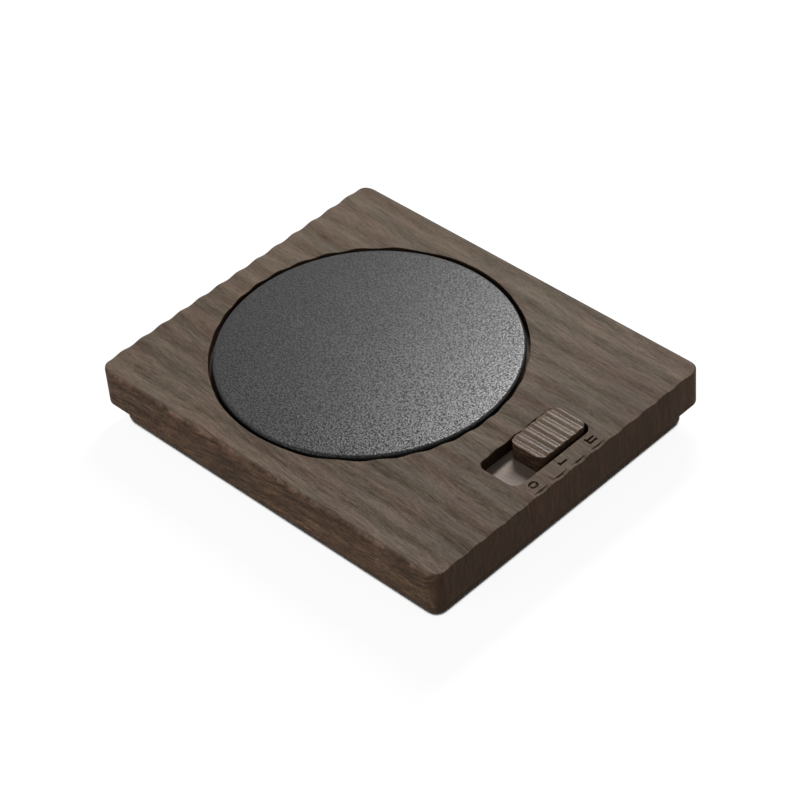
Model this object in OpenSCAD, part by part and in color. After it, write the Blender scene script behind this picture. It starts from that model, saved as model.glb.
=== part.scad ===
// Electric mug warmer: a rippled walnut housing with a round heating plate, a slide switch
// with three positions and a power inlet at the back.
// X runs to the right, Y to the back and Z up. The origin lies in the middle of the plane
// that the feet stand on. At rest the slide switch is at its second setting.

/* [Housing] */
// Length of the housing, left to right
body_l = 129; // [127:1:150]
// Depth of the housing, front to back
body_d = 107; // [105:1:130]
// Height of the upper housing, up to the middle of its ripples
shell_h = 12.1; // [11.8:0.1:16]
// Radius of the upright corners of the housing
corner_r = 4; // [3.2:0.2:9]
// Thickness of the side walls of the housing
wall_t = 2.6; // [2:0.1:2.8]
// Thickness of the roof of the housing
roof_t = 2.4; // [2:0.1:2.8]
// Rounding of the long top edges
edge_r = 0.9; // [0.5:0.1:1.6]
// Rounding of the short top edges
end_edge_r = 0.4; // [0.2:0.1:1]

/* [Ripples] */
// Distance between two ripples
ripple_pitch = 7.5; // [5:0.5:12]
// Height of a ripple, from trough to crest
ripple_h = 0.48; // [0.2:0.02:0.7]

/* [Base] */
// Height of the base that shows under the housing
base_h = 6.9; // [6:0.1:10]
// How far the base stands back from the housing all round
base_inset = 3.5; // [3.1:0.1:5]
// Radius of the upright corners of the base
base_r = 3.1; // [3:0.1:8]
// Thickness of the side walls of the base
base_wall = 2.2; // [1.6:0.1:2.6]
// Thickness of the floor of the base
base_floor = 1.8; // [1.6:0.1:2.4]
// How far the feet stand out of the base
foot_proud = 0.8; // [0.5:0.1:2]
// Diameter of a foot
foot_d = 9; // [6:0.5:10]

/* [Heating plate] */
// Diameter of the round opening in the housing
hole_d = 90; // [82:1:91]
// Distance from the left edge of the housing to the opening
plate_margin = 8.5; // [7.5:0.5:9]
// Gap round the plate
plate_gap = 1.1; // [0.6:0.1:1.6]
// Thickness of the plate
plate_t = 3; // [2:0.1:3.4]
// How far the plate stands above the middle of the ripples
plate_proud = 0.3; // [0:0.1:1]
// Rounding of the top edge of the plate
plate_edge_r = 1.5; // [0.5:0.1:1.8]
// Width of the ledge that carries the plate
ledge_w = 5; // [4:0.5:7]
// Thickness of the ledge
ledge_t = 1.8; // [1.4:0.1:2.2]
// Thickness of the seal under the plate
seal_t = 0.8; // [0.5:0.1:1.2]

/* [Slide switch] */
// Width of the slot, left to right
slot_w = 14.2; // [13.4:0.2:15]
// Length of the slot, front to back
slot_len = 30.7; // [28:0.1:34]
// Corner radius of the slot
slot_r = 3; // [2:0.5:5]
// Distance from the right edge of the housing to the slot
slot_margin = 6.4; // [6:0.1:7.2]
// Offset of the slot from the middle of the housing towards the back
slot_shift = 0.1; // [-2:0.1:2]
// Depth of the slot down to its sliding floor
slot_depth = 4.3; // [4:0.1:4.8]
// Width of the knob, left to right
knob_w = 12; // [10:0.2:12.6]
// Length of the knob, front to back
knob_len = 18.6; // [16:0.1:20]
// How far the knob stands above the middle of the ripples
knob_rise = 1.5; // [0.8:0.1:3]
// Corner radius of the knob
knob_r = 2.4; // [1:0.2:4]
// Gap between the knob and the end of the slot at each end of its travel
knob_end_gap = 0.6; // [0.3:0.1:1.2]
// Number of finger grooves across the knob
groove_count = 6; // [3:1:8]
// Depth of a finger groove
groove_depth = 0.35; // [0.2:0.05:0.6]

/* [Power inlet] */
// Width of the metal shell of the inlet
inlet_w = 8.94; // [8:0.02:9.4]
// Height of the metal shell of the inlet
inlet_h = 3.26; // [3:0.02:3.4]
// Length of the metal shell of the inlet
inlet_len = 10.5; // [9:0.5:12]

/* [Hidden] */
$fn = 64;

// Colours
walnut = "#54463b";
walnut_inside = "#65574a";
plate_black = "#303030";
rubber_black = "#1c1c1c";
steel = "#b8babd";
brass_tone = "#c4a15a";
board_green = "#1f5a3c";
plastic_white = "#e6e4dc";
plastic_black = "#26262a";
foil_amber = "#b5702a";
fibre_white = "#dedbd2";
lead_red = "#9c2f28";
lead_grey = "#8d8f92";

// Clearances and overruns shared by all pieces
over = 0.5;
run_gap = 0.2;
fit_gap = 0.1;
hole_gap = 0.05;

// Levels from the ground up
z_base = foot_proud;
z_floor = z_base + base_floor;
z_shell = z_base + base_h;
z_top = z_shell + shell_h;
z_crest = z_top + ripple_h / 2;
z_trough = z_top - ripple_h / 2;
z_roof = z_top - roof_t;

// Base and the flange that locates it in the housing
base_l = body_l - 2 * base_inset;
base_d = body_d - 2 * base_inset;
flange_h = 1.2;
flange_inset = wall_t + run_gap;
cavity_r = corner_r - wall_t;
flange_r = cavity_r - run_gap;

// Heating plate and what lies under it
hole_r = hole_d / 2;
plate_r = hole_r - plate_gap;
plate_x = plate_margin + hole_r - body_l / 2;
plate_top = z_top + plate_proud;
plate_bot = plate_top - plate_t;
ledge_top = plate_bot - seal_t;
ledge_bot = ledge_top - ledge_t;
ledge_r = hole_r - ledge_w;
well_t = 2;
well_r = hole_r + well_t;
seal_in_gap = 0.6;
seal_w = 2.6;
film_t = 0.8;
film_edge = 3;
film_r = ledge_r - film_edge;
film_bot = plate_bot - film_t;
pad_edge = 0.6;
pad_r = ledge_r - pad_edge;
pad_bot = ledge_bot;
clamp_t = 0.8;
clamp_lap = 4;
clamp_r = ledge_r + clamp_lap;
clamp_bot = ledge_bot - clamp_t;
stud_r = 1.5;
stud_edge = 7;
stud_ring_r = ledge_r - stud_edge;
stud_count = 4;
stud_first_angle = 45;
stud_end = 0.8;
nut_h = 2.2;
nut_r = 3.1;
pad_hole_r = 2.1;
stud_bot = clamp_bot - nut_h - stud_end;

// Temperature sensor in the middle of the plate
sensor_r = 2.3;
sensor_flange_r = 3.5;
sensor_flange_t = clamp_t;
sensor_stub = 1.4;
sensor_pad_gap = 0.5;
sensor_bot = clamp_bot - sensor_stub;
clip_t = 0.6;
clip_l = 19;
clip_w = 8;
clip_rivet_x = 7;
rivet_r = 1;
rivet_head_r = 1.7;
rivet_head_t = 0.5;

// Thermal fuse beside it, on the way of one heater lead
fuse_r = 2;
fuse_len = 9;
fuse_drop = 0.1;
fuse_edge = 7;
fuse_x = plate_x + ledge_r - fuse_edge;
fuse_y = 5;
fuse_z = clamp_bot - fuse_drop - fuse_r;
saddle_w = 4;
saddle_t = 0.6;
saddle_ear = 3.6;
fuse_rivet_off = fuse_r + saddle_t + saddle_ear / 2;

// Terminals of the heater and the holes that their leads pass
terminal_edge = 16;
terminal_x = plate_x + ledge_r - terminal_edge;
terminal_y = 5;
lead_r = 0.75;
sensor_lead_r = 0.55;
lead_hole_r = 1.7;

// Slot, knob and sliding carriage
slot_x = body_l / 2 - slot_margin - slot_w / 2;
slot_y = slot_shift;
skirt_t = 1.4;
travel = slot_len - knob_len - 2 * knob_end_gap;
knob_y = slot_y + travel / 2;
carriage_t = 1.4;
carriage_top = z_top - slot_depth;
carriage_bot = carriage_top - carriage_t;
carriage_w = slot_w + 2 * skirt_t;
carriage_lap = 1.2;
carriage_len = slot_len + travel + 2 * carriage_lap;
carriage_r = 1;
skirt_bot = carriage_top + run_gap;
knob_top = z_top + knob_rise;
knob_wall = 1.6;
knob_roof = 1.8;
groove_pitch = knob_len / groove_count;
groove_r = groove_pitch * groove_pitch / (8 * groove_depth) + groove_depth / 2;
leg_w = 3;
leg_t = 1.6;
leg_y = knob_len / 2 - knob_wall - leg_t;
hook_out = 0.6;
hook_h = 0.6;

// Label panel beside the slot with its engraved marks
panel_w = 5.2;
panel_len = 29.6;
panel_x = slot_x + slot_w / 2;
mark_depth = 0.3;
mark_w = 0.42;
mark_h = 2.9;
mark_in = 2.55;
mark_x = panel_x + mark_in;
mark_gap = 1.35;
mark_pitch = 11.3;
ring_w = 2.3;
serif_len = 0.9;

// Guide frame that carries the carriage under the roof
guide_wall = 1.4;
guide_side_gap = 0.25;
guide_end_gap = 0.3;
guide_ledge_t = 1.2;
guide_ledge_w = 1.9;
guide_in_w = carriage_w + 2 * guide_side_gap;
guide_out_w = guide_in_w + 2 * guide_wall;
guide_in_len = carriage_len + travel + 2 * guide_end_gap;
guide_out_len = guide_in_len + 2 * guide_wall;
guide_r = 1.2;
guide_ledge_top = carriage_bot - run_gap;
guide_bot = guide_ledge_top - guide_ledge_t;
ear_t = 1.4;
ear_r = 3;
ear_y = guide_out_len / 2 + ear_r;
ear_hole_r = 1.15;
guide_boss_r = 2.6;
guide_pilot_r = 0.95;
guide_screw_len = 4.4;

// Small screws: shank, head and cross recess
screw_r = 0.9;
screw_head_r = 1.9;
screw_head_t = 1.2;
cross_w = 0.5;
cross_len = 2.2;
cross_depth = 0.6;

// Switch under the carriage
switch_gap = 1.35;
switch_wall = 0.8;
switch_w = 9;
lever_foot_len = 6;
lever_foot_w = 6.6;
lever_foot_t = 1;
lever_w = 3;
lever_len = 3.6;
lever_in = 0.85;
cover_t = 0.4;
switch_h = 3.4;
switch_gap_y = 0.5;
contact_len = 1.2;
contact_step = travel / 2;
contact_span = 3 * contact_step + contact_len;
switch_in_w = switch_w - 2 * switch_wall;
switch_in_len = max(lever_foot_len + travel + 2 * switch_gap_y, contact_span + 2 * fit_gap);
switch_len = switch_in_len + 2 * switch_wall;
switch_top = carriage_bot - switch_gap;
board_top = switch_top - switch_h;
cover_bot = switch_top - cover_t;
switch_floor = board_top + switch_wall;
lever_top = carriage_bot + lever_in;
lever_foot_top = cover_bot - run_gap;
lever_foot_bot = lever_foot_top - lever_foot_t;
socket_h = 1;
socket_wall = 1.8;
tab_len = 5;
tab_h = 2;
contact_t = 0.25;
contact_w = 3;
pin_r = 0.4;
pin_hole_r = 0.5;
pin_below = 0.8;
wiper_t = 0.3;
wiper_gap = 0.1;
wiper_foot_len = 0.9;

// Screws that hold the base to the housing, and their bosses
boss_inset = 10.5;
boss_x = body_l / 2 - boss_inset;
boss_y = body_d / 2 - boss_inset;
boss_r = 3.4;
tray_boss_r = 4;
base_screw_r = 1.2;
base_head_r = 2.2;
base_head_t = 1.5;
head_bore_r = 2.6;
head_bore_depth = 2.2;
shank_hole_r = 1.4;
pilot_r = 1.25;
base_screw_len = 10;
pilot_depth = 7;

// Control board
board_t = 1.6;
board_bot = board_top - board_t;
board_reach_left = 13.5;
board_left = slot_x - board_reach_left;
board_edge_gap = 0.4;
board_right = base_l / 2 - base_wall - board_edge_gap;
board_reach_front = 24;
board_front = slot_y - board_reach_front;
board_back = base_d / 2 - base_wall - board_edge_gap;
notch_w = 8.4;
notch_gap = 0.6;
board_hole_r = 1.1;
board_pilot_r = 0.95;
board_post_r = 2.2;
board_hole_inset = 3.1;
post_notch_gap = 2.5;
board_post_y = boss_y - boss_r - notch_gap - post_notch_gap;
board_screw_len = 5;
board_posts = [
    [board_left + board_hole_inset, board_front + board_hole_inset],
    [board_right - board_hole_inset, board_front + board_hole_inset],
    [board_left + board_hole_inset, board_post_y],
    [board_right - board_hole_inset, board_post_y]
];

// Power inlet at the back edge of the board
inlet_side_gap = 0.73;
inlet_x = boss_x - boss_r - inlet_side_gap - inlet_w / 2;
inlet_set_back = 0.5;
inlet_mouth = body_d / 2 - inlet_set_back;
inlet_back = inlet_mouth - inlet_len;
inlet_z = board_top + inlet_h / 2;
inlet_wall = 0.3;
inlet_opening_gap = 0.25;
inlet_leg_t = 0.3;
inlet_leg_w = 0.9;
inlet_leg_below = 0.7;
inlet_leg_in = 1.6;
leg_slot_gap = 0.12;
tongue_w = 6.7;
tongue_t = 0.7;
tongue_set_back = 1.2;
tongue_block = 3;

// Lead connector at the left edge of the board
header_shift = 1;
header_y = slot_y - header_shift;
header_in = 0.6;
header_l = 5.4;
header_w = 9.6;
header_h = 3;
header_wall = 0.7;
header_x = board_left + header_in;
plug_out = 3;
plug_in = 3.8;
plug_clear = 0.06;
lead_pitch = 2;
lead_z = board_top + header_h / 2;
plug_back = header_x - plug_out;

// Parts that are soldered on the board: centre, length, width and height of each
chip_l = 9.9;
chip_w = 3.9;
chip_h = 1.5;
chip_shift = 2;
chip_reach = 19;
chip_x = slot_x - chip_shift;
chip_y = slot_y + chip_reach;
chip_leg_l = 1.1;
chip_leg_w = 0.4;
chip_leg_t = 0.2;
chip_leg_pitch = 1.27;
chip_leg_count = 8;
transistor_l = 6.5;
transistor_w = 6;
transistor_h = 2.3;
transistor_in = 5.2;
transistor_reach = 11;
transistor_x = board_left + transistor_in;
transistor_y = slot_y + transistor_reach;
transistor_tab_l = 5.2;
transistor_tab_w = 1.4;
transistor_tab_t = 0.5;
resistor_l = 3.2;
resistor_w = 1.6;
resistor_h = 0.6;
resistor_pitch = 2.6;
resistor_count = 5;
resistor_in = 4.2;
resistor_reach = 17;
resistor_x = board_left + resistor_in;
resistor_y = slot_y - resistor_reach;
capacitor_r = 2;
capacitor_h = 2.8;
capacitor_base_t = 0.6;
capacitor_base_w = 4.3;
capacitor_pitch = 6;
capacitor_count = 2;
capacitor_shift = 3;
capacitor_reach = 27;
capacitor_x = slot_x + capacitor_shift;
capacitor_y = slot_y + capacitor_reach;

// Feet
foot_recess = 0.8;
foot_gap = 0.1;
foot_step_x = 9.5;
foot_step_y = 2;
foot_x = boss_x - foot_step_x;
foot_y = boss_y - foot_step_y;

// Leads: how far each turn lies beside and below the start, or short of the end
heater_drop = 2.8;
heater_turn_drop = 4.8;
heater_turn_out = 1;
heater_low_out = 4;
heater_low_side = 0.2;
heater_run_out = 13;
heater_run_side = 0.8;
heater_short = 3;
fused_out = 1.5;
fused_turn_out = 3.4;
fused_turn_side = 1;
fused_turn_drop = 0.4;
fused_short = 1.6;
link_drop = 2.6;
link_turn = 0.7;
link_short = 1.4;
sensor_start = 1.1;
sensor_drop = 0.8;
sensor_turn_out = 1.2;
sensor_turn_drop = 2.1;
sensor_spread = 1;
sensor_low_out = 6;
sensor_low_side = 0.2;
sensor_low_drop = 2.6;
sensor_run_out = 26;
sensor_run_side = 0.8;
sensor_run_drop = 2.8;
sensor_short = 4;
heater_route = [
    [terminal_x, -terminal_y, film_bot],
    [terminal_x, -terminal_y, film_bot - heater_drop],
    [terminal_x + heater_turn_out, -terminal_y, film_bot - heater_turn_drop],
    [terminal_x + heater_low_out, -terminal_y + heater_low_side, lead_z],
    [terminal_x + heater_run_out, -terminal_y + heater_run_side, lead_z],
    [plug_back - heater_short, header_y - 1.5 * lead_pitch, lead_z],
    [plug_back, header_y - 1.5 * lead_pitch, lead_z]
];
fuse_end_x = fuse_x + fuse_len / 2;
fuse_start_x = fuse_x - fuse_len / 2;
fused_route = [
    [fuse_end_x, fuse_y, fuse_z],
    [fuse_end_x + fused_out, fuse_y, fuse_z],
    [fuse_end_x + fused_turn_out, fuse_y - fused_turn_side, fuse_z - fused_turn_drop],
    [plug_back - fused_short, header_y + 1.5 * lead_pitch, lead_z],
    [plug_back, header_y + 1.5 * lead_pitch, lead_z]
];
link_route = [
    [terminal_x, fuse_y, film_bot],
    [terminal_x, fuse_y, film_bot - link_drop],
    [terminal_x + link_turn, fuse_y, fuse_z + link_turn],
    [fuse_start_x - link_short, fuse_y, fuse_z],
    [fuse_start_x, fuse_y, fuse_z]
];
function sensor_route(side) = [
    [plate_x, side * sensor_start, sensor_bot],
    [plate_x, side * sensor_start, sensor_bot - sensor_drop],
    [plate_x + sensor_turn_out, side * sensor_start, sensor_bot - sensor_turn_drop],
    [plate_x + sensor_low_out, side * sensor_spread - sensor_low_side,
        sensor_bot - sensor_low_drop],
    [plate_x + sensor_run_out, side * sensor_spread - sensor_run_side,
        sensor_bot - sensor_run_drop],
    [plug_back - sensor_short, header_y + side * lead_pitch / 2, lead_z],
    [plug_back, header_y + side * lead_pitch / 2, lead_z]
];

// Plan of a rectangle with round corners, centred on the origin
module rounded_plan(l, d, r) {
    square([l - 2 * r, d], center = true);
    square([l, d - 2 * r], center = true);
    for (x = [-1, 1], y = [-1, 1])
        translate([x * (l / 2 - r), y * (d / 2 - r)])
            circle(r);
}

// Plan of a racetrack that is longer than it is deep, centred on the origin
module racetrack_plan(l, d) {
    square([l - d, d], center = true);
    for (side = [-1, 1])
        translate([side * (l - d) / 2, 0])
            circle(d / 2);
}

// Upright block with round corners, from one level up to another
module rounded_block(l, d, r, from, to) {
    translate([0, 0, from])
        linear_extrude(to - from)
            rounded_plan(l, d, r);
}

// Upright rod or hole from one level up to another
module rod(r, from, to) {
    translate([0, 0, from])
        cylinder(r = r, h = to - from);
}

// Block centred in plan, from one level up to another
module block(l, d, from, to) {
    translate([-l / 2, -d / 2, from])
        cube([l, d, to - from]);
}

// The four corners where the base is screwed to the housing
module at_corners(x, y) {
    for (sx = [-1, 1], sy = [-1, 1])
        translate([sx * x, sy * y, 0])
            children();
}

// Places of the studs round the plate
module at_studs() {
    for (i = [0 : stud_count - 1])
        translate([plate_x, 0, 0])
            rotate([0, 0, stud_first_angle + i * 360 / stud_count])
                translate([stud_ring_r, 0, 0])
                    children();
}

// Screw that points up, with its head below the given level
module screw_up(shank_r, head_r, head_t, len, seat) {
    difference() {
        union() {
            rod(shank_r, seat, seat + len);
            rod(head_r, seat - head_t, seat);
        }
        for (a = [0, 90])
            rotate([0, 0, a])
                block(cross_len, cross_w, seat - head_t - over, seat - head_t + cross_depth);
    }
}

// Rippled top: height of the surface at a place y, with its rounded long edges
ripple_steps = 8;
edge_steps = 4;
function edge_drop(gap, r) = gap >= r ? 0 : r - sqrt(r * r - (r - gap) * (r - gap));
function ripple_z(y) = z_top + ripple_h / 2 * cos(360 * y / ripple_pitch);
function surface_z(y) = ripple_z(y) - edge_drop(body_d / 2 - abs(y), edge_r);
function edge_ys(side) = [
    for (i = [0 : edge_steps - 1])
        side * (body_d / 2 - edge_r * (1 - cos(90 * i / edge_steps)))
];
ripple_step = ripple_pitch / ripple_steps;
ripple_half = floor((body_d / 2 - edge_r) / ripple_step);
inner_ys = [for (i = [-ripple_half : ripple_half]) i * ripple_step];
front_ys = edge_ys(-1);
back_ys = edge_ys(1);
top_ys = concat(
    front_ys,
    [for (y = inner_ys) if (abs(y) < body_d / 2 - edge_r) y],
    [for (i = [edge_steps - 1 : -1 : 0]) back_ys[i]]
);

// Cross-section of the housing block, seen from its right end
module ripple_section() {
    polygon(concat(
        [[-body_d / 2, z_shell]],
        [for (y = top_ys) [y, surface_z(y)]],
        [[body_d / 2, z_shell]]
    ));
}

// Side view of the housing block, which rounds its short top edges
module end_section() {
    translate([-body_l / 2, z_shell])
        square([body_l, z_crest - z_shell - end_edge_r]);
    translate([end_edge_r - body_l / 2, z_shell])
        square([body_l - 2 * end_edge_r, z_crest - z_shell]);
    for (side = [-1, 1])
        translate([side * (body_l / 2 - end_edge_r), z_crest - end_edge_r])
            circle(end_edge_r);
}

module rippled_block() {
    intersection() {
        rounded_block(body_l, body_d, corner_r, z_shell, z_crest + over);
        translate([-body_l / 2 - over, 0, 0])
            rotate([90, 0, 90])
                linear_extrude(body_l + 2 * over)
                    ripple_section();
        translate([0, body_d / 2 + over, 0])
            rotate([90, 0, 0])
                linear_extrude(body_d + 2 * over)
                    end_section();
    }
}

// Flat strip beside the slot that carries the marks
module panel_strip(from, to) {
    translate([panel_x + panel_w / 2, slot_y, 0])
        block(panel_w, panel_len, from, to);
}

// Ring mark for off, one bar for the first setting and two for the second
module off_mark() {
    translate([0, 0, z_top - mark_depth])
        rotate([0, 0, 90])
            linear_extrude(mark_depth + over)
                difference() {
                    racetrack_plan(mark_h, ring_w);
                    racetrack_plan(mark_h - 2 * mark_w, ring_w - 2 * mark_w);
                }
}

module bar_mark() {
    block(mark_w, mark_h, z_top - mark_depth, z_top + over);
    translate([-serif_len / 2, mark_w / 2 - mark_h / 2, 0])
        block(serif_len, mark_w, z_top - mark_depth, z_top + over);
}

module marks() {
    translate([mark_x, slot_y - mark_pitch, 0])
        off_mark();
    translate([mark_x, slot_y, 0])
        bar_mark();
    for (side = [-1, 1])
        translate([mark_x + side * mark_gap / 2, slot_y + mark_pitch, 0])
            bar_mark();
}

// Racetrack body along Y from one depth to another, on the axis of the inlet
module inlet_body(grow, from, to) {
    translate([inlet_x, to, inlet_z])
        rotate([90, 0, 0])
            linear_extrude(to - from)
                racetrack_plan(inlet_w + 2 * grow, inlet_h + 2 * grow);
}

module top_housing() {
    color(walnut)
    difference() {
        union() {
            difference() {
                rippled_block();
                rounded_block(body_l - 2 * wall_t, body_d - 2 * wall_t, cavity_r,
                    z_shell - over, z_roof);
                panel_strip(z_top, z_crest + over);
            }
            panel_strip(z_roof, z_top);
            translate([plate_x, 0, 0])
                rod(well_r, ledge_bot, z_roof + over);
            translate([slot_x, slot_y, 0])
                rounded_block(slot_w + 2 * skirt_t, slot_len + 2 * skirt_t, slot_r + skirt_t,
                    skirt_bot, z_roof + over);
            at_corners(boss_x, boss_y)
                rod(boss_r, z_shell, z_roof + over);
            for (side = [-1, 1])
                translate([slot_x, slot_y + side * ear_y, 0])
                    rod(guide_boss_r, guide_bot + ear_t, z_roof + over);
        }
        translate([plate_x, 0, 0]) {
            rod(hole_r, ledge_top, z_crest + over);
            rod(ledge_r, ledge_bot - over, z_crest + over);
        }
        translate([slot_x, slot_y, 0])
            rounded_block(slot_w, slot_len, slot_r, skirt_bot - over, z_crest + over);
        at_corners(boss_x, boss_y)
            rod(pilot_r, z_shell - over, z_shell + pilot_depth);
        for (side = [-1, 1])
            translate([slot_x, slot_y + side * ear_y, 0])
                rod(guide_pilot_r, guide_bot, guide_bot + guide_screw_len + fit_gap);
        inlet_body(inlet_opening_gap, body_d / 2 - wall_t - over, body_d / 2 + over);
        marks();
    }
}

module base_tray() {
    color(walnut)
    difference() {
        union() {
            difference() {
                union() {
                    rounded_block(base_l, base_d, base_r, z_base, z_shell + flange_h);
                    rounded_block(body_l - 2 * flange_inset, body_d - 2 * flange_inset, flange_r,
                        z_shell, z_shell + flange_h);
                }
                rounded_block(base_l - 2 * base_wall, base_d - 2 * base_wall, base_r - base_wall,
                    z_floor, z_shell + flange_h + over);
            }
            at_corners(boss_x, boss_y)
                rod(tray_boss_r, z_base, z_shell);
            for (p = board_posts)
                translate([p.x, p.y, 0])
                    rod(board_post_r, z_base, board_bot);
        }
        at_corners(boss_x, boss_y) {
            rod(head_bore_r, z_base - over, z_base + head_bore_depth);
            rod(shank_hole_r, z_base - over, z_shell + over);
        }
        at_corners(foot_x, foot_y)
            rod(foot_d / 2 + foot_gap, z_base - over, z_base + foot_recess);
        for (p = board_posts)
            translate([p.x, p.y, 0])
                rod(board_pilot_r, board_top - board_screw_len - fit_gap, board_bot + over);
    }
}

module heating_plate() {
    color(plate_black)
    translate([plate_x, 0, plate_bot])
        rotate_extrude() {
            square([plate_r - plate_edge_r, plate_t]);
            square([plate_r, plate_t - plate_edge_r]);
            translate([plate_r - plate_edge_r, plate_t - plate_edge_r])
                intersection() {
                    circle(plate_edge_r);
                    square(plate_edge_r);
                }
        }
}

module plate_studs() {
    color(steel)
    at_studs()
        rod(stud_r, stud_bot, plate_bot);
}

module plate_seal() {
    color(rubber_black)
    translate([plate_x, 0, 0])
        difference() {
            rod(ledge_r + seal_in_gap + seal_w, ledge_top, plate_bot);
            rod(ledge_r + seal_in_gap, ledge_top - over, plate_bot + over);
        }
}

// Holes through the pieces under the plate, for the studs and for the heater's two leads
module under_plate_holes(stud_hole, from, to) {
    at_studs()
        rod(stud_hole, from, to);
    for (side = [-1, 1])
        translate([terminal_x, side * terminal_y, 0])
            rod(lead_hole_r, from, to);
}

module heater_film() {
    color(foil_amber)
    difference() {
        translate([plate_x, 0, 0])
            rod(film_r, film_bot, plate_bot);
        at_studs()
            rod(pad_hole_r, film_bot - over, plate_bot + over);
    }
}

module insulation_pad() {
    color(fibre_white)
    difference() {
        translate([plate_x, 0, 0])
            rod(pad_r, pad_bot, film_bot);
        under_plate_holes(pad_hole_r, pad_bot - over, film_bot + over);
        translate([plate_x, 0, 0])
            rod(sensor_r + sensor_pad_gap, pad_bot - over, film_bot + over);
    }
}

// Places of the rivets that hold the sensor clip and the fuse clip
rivets = [
    [plate_x - clip_rivet_x, 0],
    [plate_x + clip_rivet_x, 0],
    [fuse_x, fuse_y - fuse_rivet_off],
    [fuse_x, fuse_y + fuse_rivet_off]
];

module at_rivets() {
    for (p = rivets)
        translate([p.x, p.y, 0])
            children();
}

module clamp_plate() {
    color(steel)
    difference() {
        translate([plate_x, 0, 0])
            rod(clamp_r, clamp_bot, ledge_bot);
        under_plate_holes(stud_r + fit_gap, clamp_bot - over, ledge_bot + over);
        translate([plate_x, 0, 0])
            rod(sensor_flange_r + fit_gap, clamp_bot - over, ledge_bot + over);
        at_rivets()
            rod(rivet_r + hole_gap, clamp_bot - over, ledge_bot + over);
    }
}

module clamp_nuts() {
    color(steel)
    at_studs()
        difference() {
            translate([0, 0, clamp_bot - nut_h])
                cylinder(r = nut_r, h = nut_h, $fn = 6);
            rod(stud_r + hole_gap, clamp_bot - nut_h - over, clamp_bot + over);
        }
}

module thermistor() {
    color(steel)
    translate([plate_x, 0, 0]) {
        rod(sensor_r, sensor_bot, film_bot);
        rod(sensor_flange_r, clamp_bot, clamp_bot + sensor_flange_t);
    }
}

module sensor_clip() {
    color(brass_tone)
    difference() {
        translate([plate_x, 0, 0])
            rounded_block(clip_l, clip_w, rivet_r, clamp_bot - clip_t, clamp_bot);
        translate([plate_x, 0, 0])
            rod(sensor_r + fit_gap, clamp_bot - clip_t - over, clamp_bot + over);
        at_rivets()
            rod(rivet_r + hole_gap, clamp_bot - clip_t - over, clamp_bot + over);
    }
}

module thermal_fuse() {
    color(plastic_white)
    translate([fuse_x - fuse_len / 2, fuse_y, fuse_z])
        rotate([0, 90, 0])
            cylinder(r = fuse_r, h = fuse_len);
}

module fuse_clip() {
    color(brass_tone)
    difference() {
        translate([fuse_x, fuse_y, 0]) {
            block(saddle_w, 2 * (fuse_r + saddle_t), fuse_z - fuse_r - saddle_t, clamp_bot);
            block(saddle_w, 2 * (fuse_r + saddle_t + saddle_ear), clamp_bot - clip_t, clamp_bot);
        }
        translate([fuse_x - fuse_len / 2, fuse_y, fuse_z])
            rotate([0, 90, 0])
                cylinder(r = fuse_r + hole_gap, h = fuse_len);
        translate([fuse_x, fuse_y, 0])
            block(saddle_w + 2 * over, 2 * (fuse_r + hole_gap), fuse_z, clamp_bot + over);
        at_rivets()
            rod(rivet_r + hole_gap, clamp_bot - clip_t - over, clamp_bot + over);
    }
}

module clip_rivets() {
    color(steel)
    at_rivets() {
        rod(rivet_r, clamp_bot - clip_t, ledge_bot);
        rod(rivet_head_r, clamp_bot - clip_t - rivet_head_t, clamp_bot - clip_t);
    }
}

// Places of the contact pins of the switch
contacts = [for (i = [-1.5, -0.5, 0.5, 1.5]) [slot_x, slot_y + i * contact_step]];

// Places of the four legs of the inlet's shell
inlet_legs = [
    for (side = [-1, 1], y = [inlet_back + inlet_leg_in, board_back - inlet_leg_in])
        [inlet_x + side * (inlet_w / 2 - inlet_leg_t / 2), y]
];

module control_board() {
    color(board_green)
    difference() {
        translate([board_left, board_front, board_bot])
            cube([board_right - board_left, board_back - board_front, board_t]);
        translate([boss_x - boss_r - notch_gap, boss_y - boss_r - notch_gap, board_bot - over])
            cube([notch_w + boss_r, body_d, board_t + 2 * over]);
        for (p = board_posts)
            translate([p.x, p.y, 0])
                rod(board_hole_r, board_bot - over, board_top + over);
        for (p = contacts)
            translate([p.x, p.y, 0])
                rod(pin_hole_r, board_bot - over, board_top + over);
        for (p = inlet_legs)
            translate([p.x, p.y, 0])
                block(inlet_leg_t + 2 * leg_slot_gap, inlet_leg_w + 2 * leg_slot_gap,
                    board_bot - over, board_top + over);
    }
}

module board_screws() {
    color(steel)
    for (p = board_posts)
        translate([p.x, p.y, 2 * board_top])
            mirror([0, 0, 1])
                screw_up(screw_r, screw_head_r, screw_head_t, board_screw_len, board_top);
}

module controller_chip() {
    color(plastic_black)
    translate([chip_x, chip_y, 0]) {
        block(chip_l, chip_w, board_top + chip_leg_t, board_top + chip_leg_t + chip_h);
        for (side = [-1, 1], i = [0 : chip_leg_count - 1])
            translate([(i - (chip_leg_count - 1) / 2) * chip_leg_pitch,
                       side * (chip_w / 2 + chip_leg_l / 2 - chip_leg_t), 0])
                block(chip_leg_w, chip_leg_l, board_top, board_top + 2 * chip_leg_t);
    }
}

module power_transistor() {
    color(plastic_black)
    translate([transistor_x, transistor_y, 0]) {
        block(transistor_w, transistor_l, board_top, board_top + transistor_h);
        translate([0, transistor_l / 2 + transistor_tab_w / 2, 0])
            block(transistor_tab_l, transistor_tab_w, board_top, board_top + transistor_tab_t);
    }
}

module board_resistors() {
    color(plastic_black)
    for (i = [0 : resistor_count - 1])
        translate([resistor_x + (i + 1) * resistor_pitch, resistor_y, 0])
            block(resistor_w, resistor_l, board_top, board_top + resistor_h);
}

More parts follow.
